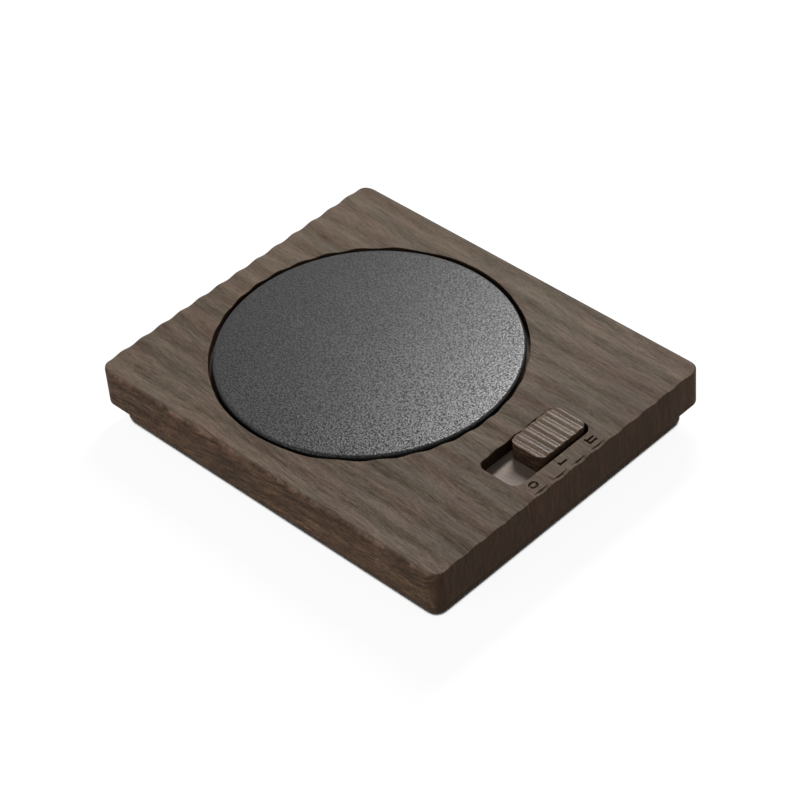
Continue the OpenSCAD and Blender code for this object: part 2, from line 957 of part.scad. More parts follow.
module board_capacitors() {
    color(steel)
    for (i = [0 : capacitor_count - 1])
        translate([capacitor_x - i * capacitor_pitch, capacitor_y, 0]) {
            block(capacitor_base_w, capacitor_base_w, board_top, board_top + capacitor_base_t);
            rod(capacitor_r, board_top, board_top + capacitor_h);
        }
}

module lead_header() {
    color(plastic_white)
    difference() {
        translate([header_x, header_y - header_w / 2, board_top])
            cube([header_l, header_w, header_h]);
        translate([header_x - over, header_y - header_w / 2 + header_wall, board_top + header_wall])
            cube([plug_in + over, header_w - 2 * header_wall, header_h - 2 * header_wall]);
    }
}

module lead_plug() {
    color(plastic_white)
    translate([plug_back, header_y, 0]) {
        translate([0, -header_w / 2 + header_wall + plug_clear, board_top + header_wall + plug_clear])
            cube([plug_out + plug_in, header_w - 2 * (header_wall + plug_clear),
                header_h - 2 * (header_wall + plug_clear)]);
        translate([0, -header_w / 2, board_top + header_wall + plug_clear])
            cube([plug_out / 2, header_w, header_h - header_wall - plug_clear]);
    }
}

module inlet_shell() {
    color(steel) {
        difference() {
            inlet_body(0, inlet_back, inlet_mouth);
            inlet_body(-inlet_wall, inlet_back + inlet_wall, inlet_mouth + over);
        }
        for (p = inlet_legs)
            translate([p.x, p.y, 0])
                block(inlet_leg_t, inlet_leg_w, board_bot - inlet_leg_below, inlet_z);
    }
}

module inlet_tongue() {
    color(plastic_black) {
        translate([inlet_x, 0, inlet_z])
            translate([-tongue_w / 2, inlet_back + inlet_wall, -tongue_t / 2])
                cube([tongue_w, inlet_len - inlet_wall - tongue_set_back, tongue_t]);
        inlet_body(-inlet_wall - hole_gap, inlet_back + inlet_wall,
            inlet_back + inlet_wall + tongue_block);
    }
}

module switch_base() {
    color(plastic_black)
    difference() {
        translate([slot_x, slot_y, 0])
            block(switch_w, switch_len, board_top, cover_bot);
        translate([slot_x, slot_y, 0])
            block(switch_in_w, switch_in_len, switch_floor, cover_bot + over);
        for (p = contacts)
            translate([p.x, p.y, 0])
                rod(pin_hole_r, board_top - over, switch_floor + over);
    }
}

module switch_cover() {
    color(steel)
    translate([slot_x, slot_y, 0]) {
        difference() {
            block(switch_w + 2 * cover_t, switch_len, cover_bot, switch_top);
            block(lever_w + 2 * run_gap, lever_len + travel + 2 * run_gap,
                cover_bot - over, switch_top + over);
        }
        for (side = [-1, 1])
            translate([side * (switch_w + cover_t) / 2, 0, 0])
                block(cover_t, tab_len, switch_top - tab_h, switch_top);
    }
}

module switch_contacts() {
    color(brass_tone)
    for (p = contacts)
        translate([p.x, p.y, 0]) {
            block(contact_w, contact_len, switch_floor, switch_floor + contact_t);
            rod(pin_r, board_bot - pin_below, switch_floor);
        }
}

module switch_lever() {
    color(plastic_black)
    translate([slot_x, knob_y, 0]) {
        block(lever_foot_w, lever_foot_len, lever_foot_bot, lever_foot_top);
        block(lever_w, lever_len, lever_foot_bot, lever_top);
    }
}

module switch_wiper() {
    color(brass_tone)
    translate([slot_x, knob_y, 0]) {
        block(contact_w, contact_step + wiper_foot_len, lever_foot_bot - wiper_t, lever_foot_bot);
        for (side = [-1, 1])
            translate([0, side * contact_step / 2, 0])
                block(contact_w, wiper_foot_len, switch_floor + contact_t + wiper_gap,
                    lever_foot_bot);
    }
}

module slider_carriage() {
    color(walnut_inside)
    translate([slot_x, knob_y, 0])
        difference() {
            union() {
                rounded_block(carriage_w, carriage_len, carriage_r, carriage_bot, carriage_top);
                block(lever_w + 2 * socket_wall, lever_len + 2 * socket_wall,
                    carriage_bot - socket_h, carriage_bot);
            }
            block(lever_w + 2 * fit_gap, lever_len + 2 * fit_gap,
                carriage_bot - socket_h - over, lever_top + fit_gap);
            for (side = [-1, 1])
                translate([0, side * leg_y, 0])
                    block(leg_w + 2 * fit_gap, leg_t + 2 * fit_gap,
                        carriage_bot - over, carriage_top + over);
        }
}

module slide_knob() {
    color(walnut)
    translate([slot_x, knob_y, 0]) {
        difference() {
            rounded_block(knob_w, knob_len, knob_r, carriage_top, knob_top);
            rounded_block(knob_w - 2 * knob_wall, knob_len - 2 * knob_wall, knob_r - knob_wall,
                carriage_top - over, knob_top - knob_roof);
            for (i = [0 : groove_count - 1])
                translate([-knob_w / 2 - over, (i + 1 / 2) * groove_pitch - knob_len / 2,
                           knob_top - groove_depth + groove_r])
                    rotate([0, 90, 0])
                        cylinder(r = groove_r, h = knob_w + 2 * over);
        }
        for (side = [-1, 1])
            translate([0, side * leg_y, 0]) {
                block(leg_w, leg_t, carriage_bot - fit_gap, knob_top - knob_roof + hole_gap);
                translate([0, side * hook_out / 2, 0])
                    block(leg_w, leg_t + hook_out, carriage_bot - fit_gap - hook_h,
                        carriage_bot - fit_gap);
            }
    }
}

module slider_guide() {
    color(plastic_black)
    translate([slot_x, slot_y, 0])
        difference() {
            union() {
                rounded_block(guide_out_w, guide_out_len, guide_r, guide_bot, z_roof);
                for (side = [-1, 1])
                    translate([0, side * ear_y, 0]) {
                        rod(ear_r, guide_bot, guide_bot + ear_t);
                        translate([0, -side * ear_r / 2, 0])
                            block(2 * ear_r, ear_r + guide_wall, guide_bot, guide_bot + ear_t);
                    }
            }
            block(guide_in_w, guide_in_len, guide_ledge_top, z_roof + over);
            block(guide_in_w - 2 * guide_ledge_w, guide_in_len, guide_bot - over, z_roof + over);
            for (side = [-1, 1])
                translate([0, side * ear_y, 0])
                    rod(ear_hole_r, guide_bot - over, guide_bot + ear_t + over);
        }
}

module guide_screws() {
    color(steel)
    for (side = [-1, 1])
        translate([slot_x, slot_y + side * ear_y, 0])
            screw_up(screw_r, screw_head_r, screw_head_t, guide_screw_len, guide_bot);
}

// Smooth route through hand-chosen points
route_steps = 4;
function smooth(a, b, c, d, t) =
    ((2 * b) + (c - a) * t + (2 * a - 5 * b + 4 * c - d) * t * t
    + (3 * b - a - 3 * c + d) * t * t * t) / 2;
function at(p, i) = p[max(0, min(len(p) - 1, i))];
function route_points(p) = concat(
    [for (i = [0 : len(p) - 2], k = [0 : route_steps - 1])
        smooth(at(p, i - 1), p[i], p[i + 1], at(p, i + 2), k / route_steps)],
    [p[len(p) - 1]]
);
function unit(v) = v / norm(v);
function directions(p, route) = [
    for (i = [0 : len(p) - 1])
        i == 0 ? unit(route[1] - route[0])
        : i == len(p) - 1 ? unit(route[len(route) - 1] - route[len(route) - 2])
        : unit(p[i + 1] - p[i - 1])
];
function square_to(n, t) = unit(n - (n * t) * t);
function sides_of(t) = [
    for (i = 0, n = square_to([0, 1, 0], t[0]); i < len(t);
         i = i + 1, n = i < len(t) ? square_to(n, t[i]) : n) n
];

// Round lead swept along a route
lead_sides = 8;
module lead(route, r) {
    p = route_points(route);
    t = directions(p, route);
    n = sides_of(t);
    last = len(p) - 1;
    points = [
        for (i = [0 : last], k = [0 : lead_sides - 1])
            p[i] + r * (cos(360 * k / lead_sides) * n[i]
                + sin(360 * k / lead_sides) * cross(t[i], n[i]))
    ];
    skin = [
        for (i = [0 : last - 1], k = [0 : lead_sides - 1])
            let (m = (k + 1) % lead_sides, a = i * lead_sides, b = a + lead_sides)
                [a + k, b + k, b + m, a + m]
    ];
    caps = [
        [for (k = [0 : lead_sides - 1]) k],
        [for (k = [lead_sides - 1 : -1 : 0]) last * lead_sides + k]
    ];
    polyhedron(points, concat(skin, caps));
}

module heater_leads() {
    color(lead_red) {
        lead(heater_route, lead_r);
        lead(fused_route, lead_r);
    }
}

module fuse_link() {
    color(lead_red)
    lead(link_route, lead_r);
}

module sensor_leads() {
    color(lead_grey)
    for (side = [-1, 1])
        lead(sensor_route(side), sensor_lead_r);
}

module base_screws() {
    color(steel)
    at_corners(boss_x, boss_y)
        screw_up(base_screw_r, base_head_r, base_head_t, base_screw_len, z_base + head_bore_depth);
}

module rubber_feet() {
    color(rubber_black)
    at_corners(foot_x, foot_y)
        rod(foot_d / 2, 0, z_base + foot_recess);
}

top_housing();
base_tray();
heating_plate();
plate_studs();
plate_seal();
heater_film();
insulation_pad();
clamp_plate();
clamp_nuts();
thermistor();
sensor_clip();
thermal_fuse();
fuse_clip();
clip_rivets();
control_board();
board_screws();
controller_chip();
power_transistor();
board_resistors();
board_capacitors();
lead_header();
lead_plug();
inlet_shell();
inlet_tongue();
switch_base();
switch_cover();
switch_contacts();
switch_lever();
switch_wiper();
slider_carriage();
slide_knob();
slider_guide();
guide_screws();
heater_leads();
fuse_link();
sensor_leads();
base_screws();
rubber_feet();
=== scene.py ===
"""Builds the looks of an electric mug warmer around its packed frame.

All forms are worked out in millimetres in the frame's own axes (X right, Y back, Z up) and are
turned into metres when a piece is made. Every piece rides on the body that carries it.
"""

import math
from functools import partial, reduce
from types import SimpleNamespace

import bmesh
import bpy
import numpy as np
from bpy.props import FloatProperty, FloatVectorProperty, IntProperty, PointerProperty
from mathutils import Matrix, Vector
from mathutils.geometry import delaunay_2d_cdt


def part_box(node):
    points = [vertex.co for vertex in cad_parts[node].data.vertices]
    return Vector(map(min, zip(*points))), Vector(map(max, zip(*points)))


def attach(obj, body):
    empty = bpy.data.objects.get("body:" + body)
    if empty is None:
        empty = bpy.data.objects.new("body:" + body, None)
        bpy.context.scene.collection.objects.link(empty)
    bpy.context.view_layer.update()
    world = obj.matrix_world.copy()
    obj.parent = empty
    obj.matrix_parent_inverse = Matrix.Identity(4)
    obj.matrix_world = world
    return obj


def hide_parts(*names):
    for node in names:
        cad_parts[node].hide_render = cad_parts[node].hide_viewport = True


bl_info = {
    "name": "Electric mug warmer",
    "version": (1, 0, 0),
    "blender": (4, 5, 0),
    "location": "View3D > Sidebar > Mug warmer",
    "description": "Walnut mug warmer with a round heating plate and a slide switch",
    "category": "Object",
}

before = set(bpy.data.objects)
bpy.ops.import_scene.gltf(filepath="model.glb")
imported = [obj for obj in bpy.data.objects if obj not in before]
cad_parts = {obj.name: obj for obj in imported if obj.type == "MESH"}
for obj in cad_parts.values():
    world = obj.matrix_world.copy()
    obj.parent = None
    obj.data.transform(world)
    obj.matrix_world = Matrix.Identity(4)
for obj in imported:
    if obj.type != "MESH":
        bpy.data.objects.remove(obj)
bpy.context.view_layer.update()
MM = 0.001
QUARTER = math.pi / 2
SIDES = (-1, 1)

# Steps of an outline along X, along Y and in a corner
HOUSING_STEPS = (60, 198, 12)
SLOT_STEPS = (12, 40, 10)
BASE_STEPS = (60, 50, 10)
KNOB_STEPS = (16, 138, 12)
RING_MARK_STEPS = (0, 1, 8)
OPENING_STEPS = (10, 0, 10)
INLET_STEPS = (12, 0, 12)
TONGUE_STEPS = (4, 1, 4)

# Steps along the label panel and round the inlet's mouth, and steps of round outlines
PANEL_STEPS = 90
MOUTH_STEPS = 8
PLATE_RING = 256
FOOT_RING = 64
SCREW_RING = 48
SMALL_RING = 32

# Steps of a curved top's grid along X and Y, and its gap to the top's lines, in millimetres
TOP_GRID = (2.0, 0.5, 0.22)
KNOB_GRID = (1.2, 0.1, 0.06)

# Band of wall next to a rounded edge, how far a cutter runs past a wall, and how far from the
# line of an opening its wall begins and ends to take painted shade, in millimetres
EDGE_BAND = 0.3
OVERRUN = 0.6
WALL_SHADE_REACH = (0.1, 0.2)

# Edges that turn by more than this look sharp, in degrees
SHARP = 35
FINE_SHARP = 30

# Nothing but a rounding error: a squared length, a distance in millimetres and one in metres
NO_LENGTH = 1e-12
SAME_PLACE = 1e-6
DOUBLE = 1e-8

# Profile of a foot's underside, as shares of its radius and of the depth of its rings
FOOT_RING_SHARES = ((0, 1), (0.30, 1), (0.34, 0), (0.60, 0), (0.64, 0.8), (0.70, 0.8), (0.74, 0))

# Thickness of the tip of an inlet leg, as a share of the leg's own
LEG_TIP_SHARE = 0.7

# Painted highlight on a strip of the top along the front: where it begins to fade and where it
# ends, and the reach from far left to near right over which the grain and the glitter grow, in
# millimetres
FRONT_STRIP_HIGHLIGHT = (3.5, 9.5)
GRAIN_REACH = (-90, 90)
GLITTER_REACH = (-60, 50)

# Levels between which a noise mostly lies
NOISE = (0.3, 0.7)

# Camera: angles in degrees; lens, sensor, place and distances in millimetres
CAMERA_TURN, CAMERA_LIFT, CAMERA_LEAN = 47.3904, 41.8331, -5.2069
CAMERA_LENS, CAMERA_SENSOR = 129.842, 36
CAMERA_TARGET = (4.6129, -4.3468, 13.0008)
CAMERA_DISTANCE = 797.0987
CAMERA_NEAR, CAMERA_FAR = 10, 20000


# What the frame gives


def corners(node):
    """Lowest and highest corner of a CAD node, in millimetres."""
    low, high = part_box(node)
    return low / MM, high / MM


def middle(node):
    """Centre of a CAD node's box, in millimetres."""
    low, high = corners(node)
    return (low + high) / 2


HOUSING_LOW, HOUSING_HIGH = corners("top_housing")
BASE_LOW, BASE_HIGH = corners("base_tray")
PLATE_LOW, PLATE_HIGH = corners("heating_plate")
SEAL_LOW = corners("plate_seal")[0]
KNOB_LOW, KNOB_HIGH = corners("slide_knob")
CARRIAGE_HIGH = corners("slider_carriage")[1]
GUIDE_LOW = corners("slider_guide")[0]
GUIDE_SCREWS_LOW, GUIDE_SCREWS_HIGH = corners("guide_screws")
BOARD_SCREWS_LOW, BOARD_SCREWS_HIGH = corners("board_screws")
BOARD_LOW, BOARD_HIGH = corners("control_board")
SCREWS_LOW, SCREWS_HIGH = corners("base_screws")
FEET_LOW, FEET_HIGH = corners("rubber_feet")
INLET_LOW, INLET_HIGH = corners("inlet_shell")
PLATE_X = middle("heating_plate").x
SLOT = middle("slider_guide")
KNOB = middle("slide_knob")


def length(name, description, value):
    """A length that a user may change, given in millimetres and kept in metres."""
    return FloatProperty(name=name, description=description, default=value * MM, min=0,
                         unit="LENGTH", precision=5)


def colour(name, description, value):
    """A colour that a user may change, written as a hexadecimal tone."""
    return FloatVectorProperty(name=name, description=description, default=tone(value)[:3],
                               subtype="COLOR", min=0, max=1, size=3)


def share(name, description, value, top=1.0):
    """A plain number that a user may change."""
    return FloatProperty(name=name, description=description, default=value, min=0, max=top,
                         subtype="FACTOR" if top == 1 else "NONE")


def tone(text):
    """Linear colour of a hexadecimal tone."""
    parts = [int(text[i:i + 2], 16) / 255 for i in (1, 3, 5)]
    return tuple(c / 12.92 if c <= 0.04045 else ((c + 0.055) / 1.055) ** 2.4
                 for c in parts) + (1.0,)


class WarmerHousingSizes(bpy.types.PropertyGroup):
    """Sizes of the walnut housing"""

    corner: length("Corner", "Radius of the upright corners", 4)
    wall: length("Wall", "Thickness of the side walls", 2.6)
    roof: length("Roof", "Thickness of the roof", 2.4)
    ripple: length("Ripple", "Height of a ripple from trough to crest", 0.48)
    pitch: length("Pitch", "Distance between two ripples", 7.5)
    long_edge: length("Long edge", "Rounding of the long top edges", 1.4)
    end_edge: length("End edge", "Rounding of the short top edges", 0.25)
    foot_edge: length("Foot edge", "Rounding of the lower edge", 0.35)
    hole: length("Hole", "Diameter of the round opening", 90)
    hole_edge: length("Hole edge", "Rounding of the edge of the opening", 0.15)
    ledge: length("Ledge", "Width of the ledge under the plate", 5)
    ledge_thick: length("Ledge thickness", "Thickness of the ledge", 1.8)
    well: length("Well wall", "Thickness of the wall round the plate", 2)
    boss: length("Boss", "Radius of a screw boss", 3.4)
    pilot: length("Pilot", "Radius of a pilot hole", 1.25)
    pilot_depth: length("Pilot depth", "Depth of a pilot hole", 7)
    guide_boss: length("Guide boss", "Radius of a boss of the guide", 2.6)
    guide_pilot: length("Guide pilot", "Radius of its pilot hole", 0.95)
    ear: length("Ear", "Thickness of an ear of the guide", 1.4)
    opening_gap: length("Opening gap", "Gap round the inlet", 0.25)
    opening_lead: length("Opening lead-in", "Lead-in at the mouth of the opening", 0.35)


class WarmerSwitchSizes(bpy.types.PropertyGroup):
    """Sizes of the slot, its label and the knob"""

    slot_w: length("Slot width", "Width of the slot", 14.2)
    slot_len: length("Slot length", "Length of the slot", 30.7)
    slot_r: length("Slot corner", "Corner radius of the slot", 3)
    slot_edge: length("Slot edge", "Rounding of the slot's edge", 0.25)
    skirt: length("Skirt", "Wall round the slot", 1.4)
    run_gap: length("Running gap", "Gap over the sliding floor", 0.2)
    panel_w: length("Panel width", "Width of the label panel", 5.2)
    panel_len: length("Panel length", "Length of the label panel", 29.6)
    panel_end: length("Panel end", "Length over which the panel runs out into the ripples", 2.6)
    panel_up: length("Panel level", "Height of the panel over the middle of the ripples", 0.19)
    step: length("Step", "Draft of the panel's outer edge", 0.05)
    bar_shift: length("Bar shift", "How far the bars stand out from the ring's line", 0.25)
    mark_in: length("Mark place", "Distance of the marks from the slot", 2.55)
    mark_pitch: length("Mark pitch", "Distance between two marks", 11.3)
    mark_gap: length("Mark gap", "Distance between the two bars", 1.3)
    mark_w: length("Mark line", "Width of a mark's line", 0.72)
    mark_h: length("Mark height", "Height of a mark", 3.0)
    mark_depth: length("Mark depth", "Depth of a mark", 0.6)
    mark_draft: length("Mark draft", "Draft of a mark's walls", 0.05)
    ring_w: length("Ring width", "Width of the ring mark", 2.6)
    serif: length("Serif", "Length of a bar's serif", 0.9)
    knob_r: length("Knob corner", "Corner radius of the knob", 2.4)
    knob_edge: length("Knob edge", "Rounding of the knob's top edge", 0.3)
    knob_foot: length("Knob foot", "Rounding of the knob's lower edge", 0.2)
    knob_wall: length("Knob wall", "Wall of the hollow knob", 1.6)
    knob_roof: length("Knob roof", "Roof of the hollow knob", 1.8)
    flute: length("Flute", "Depth of a finger groove", 0.27)
    flute_pitch: length("Flute pitch", "Distance between two finger grooves", 2.97)
    trough: share("Trough", "How much narrower the grooves are than the ribs", 0.08)
    leg_w: length("Leg width", "Width of a leg of the knob", 3)
    leg_t: length("Leg thickness", "Thickness of a leg of the knob", 1.6)
    hook: length("Hook", "Reach and height of the hook on a leg", 0.6)
    hook_bevel: length("Hook bevel", "Bevel of the hook", 0.1)
    fit: length("Fit", "Gap of pieces that fit into each other", 0.1)


class WarmerBaseSizes(bpy.types.PropertyGroup):
    """Sizes of the base, its feet and its screws"""

    inset: length("Inset", "How far the base stands back from the housing", 3.5)
    corner: length("Corner", "Radius of the upright corners", 3.1)
    wall: length("Wall", "Thickness of the side walls", 2.2)
    floor: length("Floor", "Thickness of the floor", 1.8)
    edge: length("Edge", "Rounding of the lower edge", 0.6)
    flange_r: length("Flange corner", "Corner radius of the locating flange", 1.2)
    boss: length("Boss", "Radius of a screw boss", 4)
    shank: length("Shank hole", "Radius of a hole for a screw", 1.4)
    bore: length("Bore", "Radius of the recess for a screw's head", 2.6)
    bore_depth: length("Bore depth", "Depth of that recess", 2.2)
    post: length("Post", "Radius of a post under the board", 2.2)
    post_pilot: length("Post pilot", "Radius of its pilot hole", 0.95)
    post_depth: length("Post depth", "Depth of its pilot hole", 3.5)
    foot_r: length("Foot", "Radius of a foot", 4.5)
    foot_gap: length("Foot gap", "Gap round a foot", 0.1)
    foot_recess: length("Foot recess", "Depth of the recess of a foot", 0.8)
    foot_edge: length("Foot edge", "Rounding of a foot", 0.35)
    foot_ring: length("Foot rings", "Depth of the rings in a foot", 0.15)
    head_r: length("Head", "Radius of a base screw's head", 2.2)
    head_t: length("Head thickness", "Thickness of that head", 1.5)
    head_edge: length("Head edge", "Rounding of that head", 0.45)
    dome: length("Dome", "Height of that head's dome", 0.18)
    screw_r: length("Screw", "Radius of the screw's thread", 1.2)
    thread: length("Thread", "Pitch of the screw's thread", 0.8)
    thread_deep: length("Thread depth", "Depth of the screw's thread", 0.22)
    plain: length("Plain shank", "Length of the shank without thread", 1.2)
    point: length("Point", "Length of the screw's point", 0.7)
    point_r: length("Point radius", "Radius of the blunt end of that point", 0.35)
    cross_w: length("Cross width", "Width of an arm of the cross recess", 0.6)
    cross_len: length("Cross length", "Length of the cross recess", 2.3)
    cross_depth: length("Cross depth", "Depth of the cross recess", 0.6)
    cross_draft: length("Cross draft", "Draft of the walls of that recess", 0.07)
    small_head_r: length("Small head", "Radius of a small screw's head", 1.9)


class WarmerPlateSizes(bpy.types.PropertyGroup):
    """Sizes of the heating plate"""

    edge: length("Edge", "Rounding of the plate's top edge", 0.9)
    band: length("Band", "Flat band inside that rounding", 0.6)
    foot: length("Foot", "Rounding of the plate's lower edge", 0.3)
    rim: length("Rim", "Width of the outer ring of the underside", 4)


class WarmerInletSizes(bpy.types.PropertyGroup):
    """Sizes of the power inlet"""

    height: length("Height", "Height of the metal shell", 3.26)
    wall: length("Wall", "Thickness of the metal shell", 0.3)
    lip: length("Lip", "Rounding of the shell's mouth", 0.12)
    leg_w: length("Leg width", "Width of a leg of the shell", 0.9)
    leg_in: length("Leg place", "Distance of a leg from the end of the shell", 1.6)
    leg_below: length("Leg reach", "How far a leg stands out below the board", 0.7)
    tongue_w: length("Tongue width", "Width of the tongue", 6.7)
    tongue_t: length("Tongue thickness", "Thickness of the tongue", 0.7)
    tongue_r: length("Tongue corner", "Corner radius of the tongue", 0.12)
    tongue_back: length("Tongue set back", "How far the tongue stands back", 1.2)
    tongue_bevel: length("Tongue bevel", "Length of the bevel at its tip", 0.25)
    tongue_taper: length("Tongue taper", "How much that bevel takes off a side", 0.18)
    block: length("Block", "Depth of the block behind the tongue", 3)
    block_gap: length("Block gap", "Gap round that block", 0.05)
    strip_w: length("Strip", "Width of a contact strip", 0.26)
    strip_t: length("Strip thickness", "How far a strip stands out of the tongue", 0.03)
    strip_len: length("Strip length", "Length of a contact strip", 3.6)
    strip_draft: length("Strip draft", "Draft of a strip's long sides", 0.02)
    strip_sunk: length("Strip root", "How deep a strip sits in the tongue", 0.1)
    strip_back: length("Strip set back", "Distance of a strip from the tip", 0.45)
    strip_margin: length("Strip margin", "Width of the tongue without strips", 0.9)
    strips: IntProperty(name="Strips", description="Number of strips on a side", default=12,
                        min=4, max=12)


class WarmerLooks(bpy.types.PropertyGroup):
    """Colours and finishes"""

    side_pink: colour("Warm side", "Warm tone of the walnut's upright faces", "#5a4538")
    side_olive: colour("Cool side", "Cool tone of the walnut's upright faces", "#564638")
    # The top tones are the walnut's own tone with painted sheen: paler and greyer than the sides
    top_pink: colour("Warm top", "Warm tone of the walnut's upper faces", "#605147")
    top_olive: colour("Cool top", "Cool tone of the walnut's upper faces", "#5b5247")
    knob_pink: colour("Warm knob", "Warm tone of the knob's top", "#635148")
    knob_olive: colour("Cool knob", "Cool tone of the knob's top", "#5d5043")
    floor_pink: colour("Warm slot floor", "Warm tone of the slot's floor", "#8e7d73")
    floor_olive: colour("Cool slot floor", "Cool tone of the slot's floor", "#897b71")
    pore: colour("Pore", "Tone of the walnut's pores", "#2a211b")
    coating: colour("Coating", "Tone of the plate's coating", "#333333")
    rubber: colour("Rubber", "Tone of the rubber pieces", "#1a1a1b")
    wood_rough: share("Wood roughness", "Roughness of the walnut", 0.52)
    wood_gloss: share("Wood gloss", "Reflection level of the walnut", 0.03)
    knob_rough: share("Knob roughness", "Roughness of the knob", 0.24)
    knob_gloss: share("Knob gloss", "Reflection level of the knob", 0.05)
    floor_rough: share("Slot floor roughness", "Roughness of the slot's floor", 0.45)
    floor_gloss: share("Slot floor gloss", "Reflection level of the slot's floor", 0.1)
    slant: share("Slant", "How far the grain slants, per millimetre along X", 0.07)
    # Walls of the cut openings: how much painted shade darkens them
    wall_shade: share("Burnt walls", "How dark the walls of the cut openings are", 0.85)
    # Painted highlight on the rounded edges: how much paler they are drawn
    edge_light: share("Worn edges", "How much paler the rounded edges are", 0.4)
    coat_rough: share("Coating roughness", "Roughness of the coating", 0.29)
    coat_gloss: share("Coating gloss", "Reflection level of the coating", 0.18)


class WarmerStageSizes(bpy.types.PropertyGroup):
    """Light and floor"""

    floor: length("Floor", "Width of the floor", 4000)
    bounce: share("Bounce", "How much light the floor sends back", 0.36)
    shadow: share("Shadow", "How strongly shadows show on the floor", 0.11)
    glow: share("Glow", "Glow that keeps the open floor white", 0.93)
    gap: length("Gap shade", "Reach of the shade in the gap under the base", 3)
    gap_dark: share("Gap dark", "Openness below which the floor has no glow", 0.40)
    gap_light: share("Gap light", "Openness above which the floor glows fully", 0.52)
    sky: share("Sky", "Strength of the even light from all sides", 0.22, 10)
    key: share("Key lamp", "Power of the lamp behind the object", 2.4, 100)
    side: share("Side lamp", "Power of the weak lamp at its right", 0.3, 100)
    fill: share("Fill lamp", "Power of the lamp in front of it", 1.9, 100)


def sizes(group):
    """The values of a group, with lengths in millimetres."""
    values = getattr(bpy.context.scene, group)
    out = {}
    for name, kind in type(values).__annotations__.items():
        value = getattr(values, name)
        out[name] = value / MM if kind.keywords.get("unit") == "LENGTH" else value
    return SimpleNamespace(**out)


# Outlines: lists of (x, y, outward x, outward y), anticlockwise


def rounded_outline(centre, wide, deep, radius, counts):
    """Rectangle with round corners; counts are the steps along X, along Y and in a corner."""
    along_x, along_y, corner_steps = counts
    sx, sy = wide / 2 - radius, deep / 2 - radius
    places = ((1, -1), (1, 1), (-1, 1), (-1, -1))
    out = []
    for k in range(4):
        turn = k * QUARTER
        nx, ny = round(math.cos(turn)), round(math.sin(turn))
        here, there = places[k], places[(k + 1) % 4]
        count = along_x if k % 2 else along_y
        for i in range(count):
            t = i / count
            x = (here[0] + (there[0] - here[0]) * t) * sx + nx * radius
            y = (here[1] + (there[1] - here[1]) * t) * sy + ny * radius
            out.append((centre[0] + x, centre[1] + y, nx, ny))
        for i in range(corner_steps):
            a = turn + QUARTER * i / corner_steps
            c, s = math.cos(a), math.sin(a)
            out.append((centre[0] + there[0] * sx + radius * c,
                        centre[1] + there[1] * sy + radius * s, c, s))
    return out


def round_outline(centre, radius, count):
    """Circle."""
    turns = [2 * math.pi * i / count for i in range(count)]
    return [(centre[0] + radius * math.cos(a), centre[1] + radius * math.sin(a),
             math.cos(a), math.sin(a)) for a in turns]


def moved_out(outline, gap):
    """The outline moved along its outward directions."""
    return [(x + nx * gap, y + ny * gap, nx, ny) for x, y, nx, ny in outline]


def facing_in(outline):
    """The outline of a hole: its outward directions point into the hole."""
    return [(x, y, -nx, -ny) for x, y, nx, ny in outline]


# Lines, places and profiles


def sides_of(line, closed=True):
    """Each point of a line with the next one."""
    return list(zip(line, line[1:] + line[:1] if closed else line[1:]))


def shrunk(corners_2d, gap):
    """A polygon's corners moved inwards by a gap, for an anticlockwise polygon."""
    out = []
    for i, here in enumerate(corners_2d):
        before, here = Vector(corners_2d[i - 1]), Vector(here)
        after = Vector(corners_2d[(i + 1) % len(corners_2d)])
        first, second = (here - before).normalized(), (after - here).normalized()
        n1, n2 = Vector((-first.y, first.x)), Vector((-second.y, second.x))
        out.append((here + (n1 + n2) * gap / (1 + n1.dot(n2)))[:])
    return out


def finely(corners_2d, parts):
    """A polygon's corners with each side cut into parts."""
    out = []
    for (ax, ay), (bx, by) in sides_of(corners_2d):
        out += [(ax + (bx - ax) * i / parts, ay + (by - ay) * i / parts) for i in range(parts)]
    return out


def four(x, y):
    """The four places at plus and minus x and y."""
    return [(sx * x, sy * y) for sx in SIDES for sy in SIDES]


def rounding(radius, z, edge, steps, up):
    """Profile of a rounded edge: outwards from an underside (up 1) or inwards to a top (-1)."""
    turns = [QUARTER * j / steps for j in range(steps + 1)]
    profile = [(radius - edge * (1 - math.sin(a)), z + up * edge * (1 - math.cos(a)))
               for a in turns]
    return profile[::up]


def inside(spots, loop):
    """Whether each spot lies inside a closed loop."""
    x, y = spots[:, 0], spots[:, 1]
    hit = np.zeros(len(spots), bool)
    for (ax, ay), (bx, by) in sides_of(loop):
        if ay != by:
            crosses = (ay > y) != (by > y)
            hit ^= crosses & (x < (bx - ax) * (y - ay) / (by - ay) + ax)
    return hit


def all_rims(outer, holes, lines):
    """A loop, its holes and further lines, each with whether it is closed."""
    return [(rim, True) for rim in (outer, *holes)] + list(lines)


def clear_of(spots, pieces_of_line, gap):
    """Whether each spot lies further than a gap from all pieces of line."""
    free = np.ones(len(spots), bool)
    for a, b in pieces_of_line:
        a, b = np.array(a), np.array(b)
        d = b - a
        t = np.clip(((spots - a) @ d) / max(d @ d, NO_LENGTH), 0, 1)
        free &= np.hypot(*(spots - a - t[:, None] * d).T) > gap
    return free


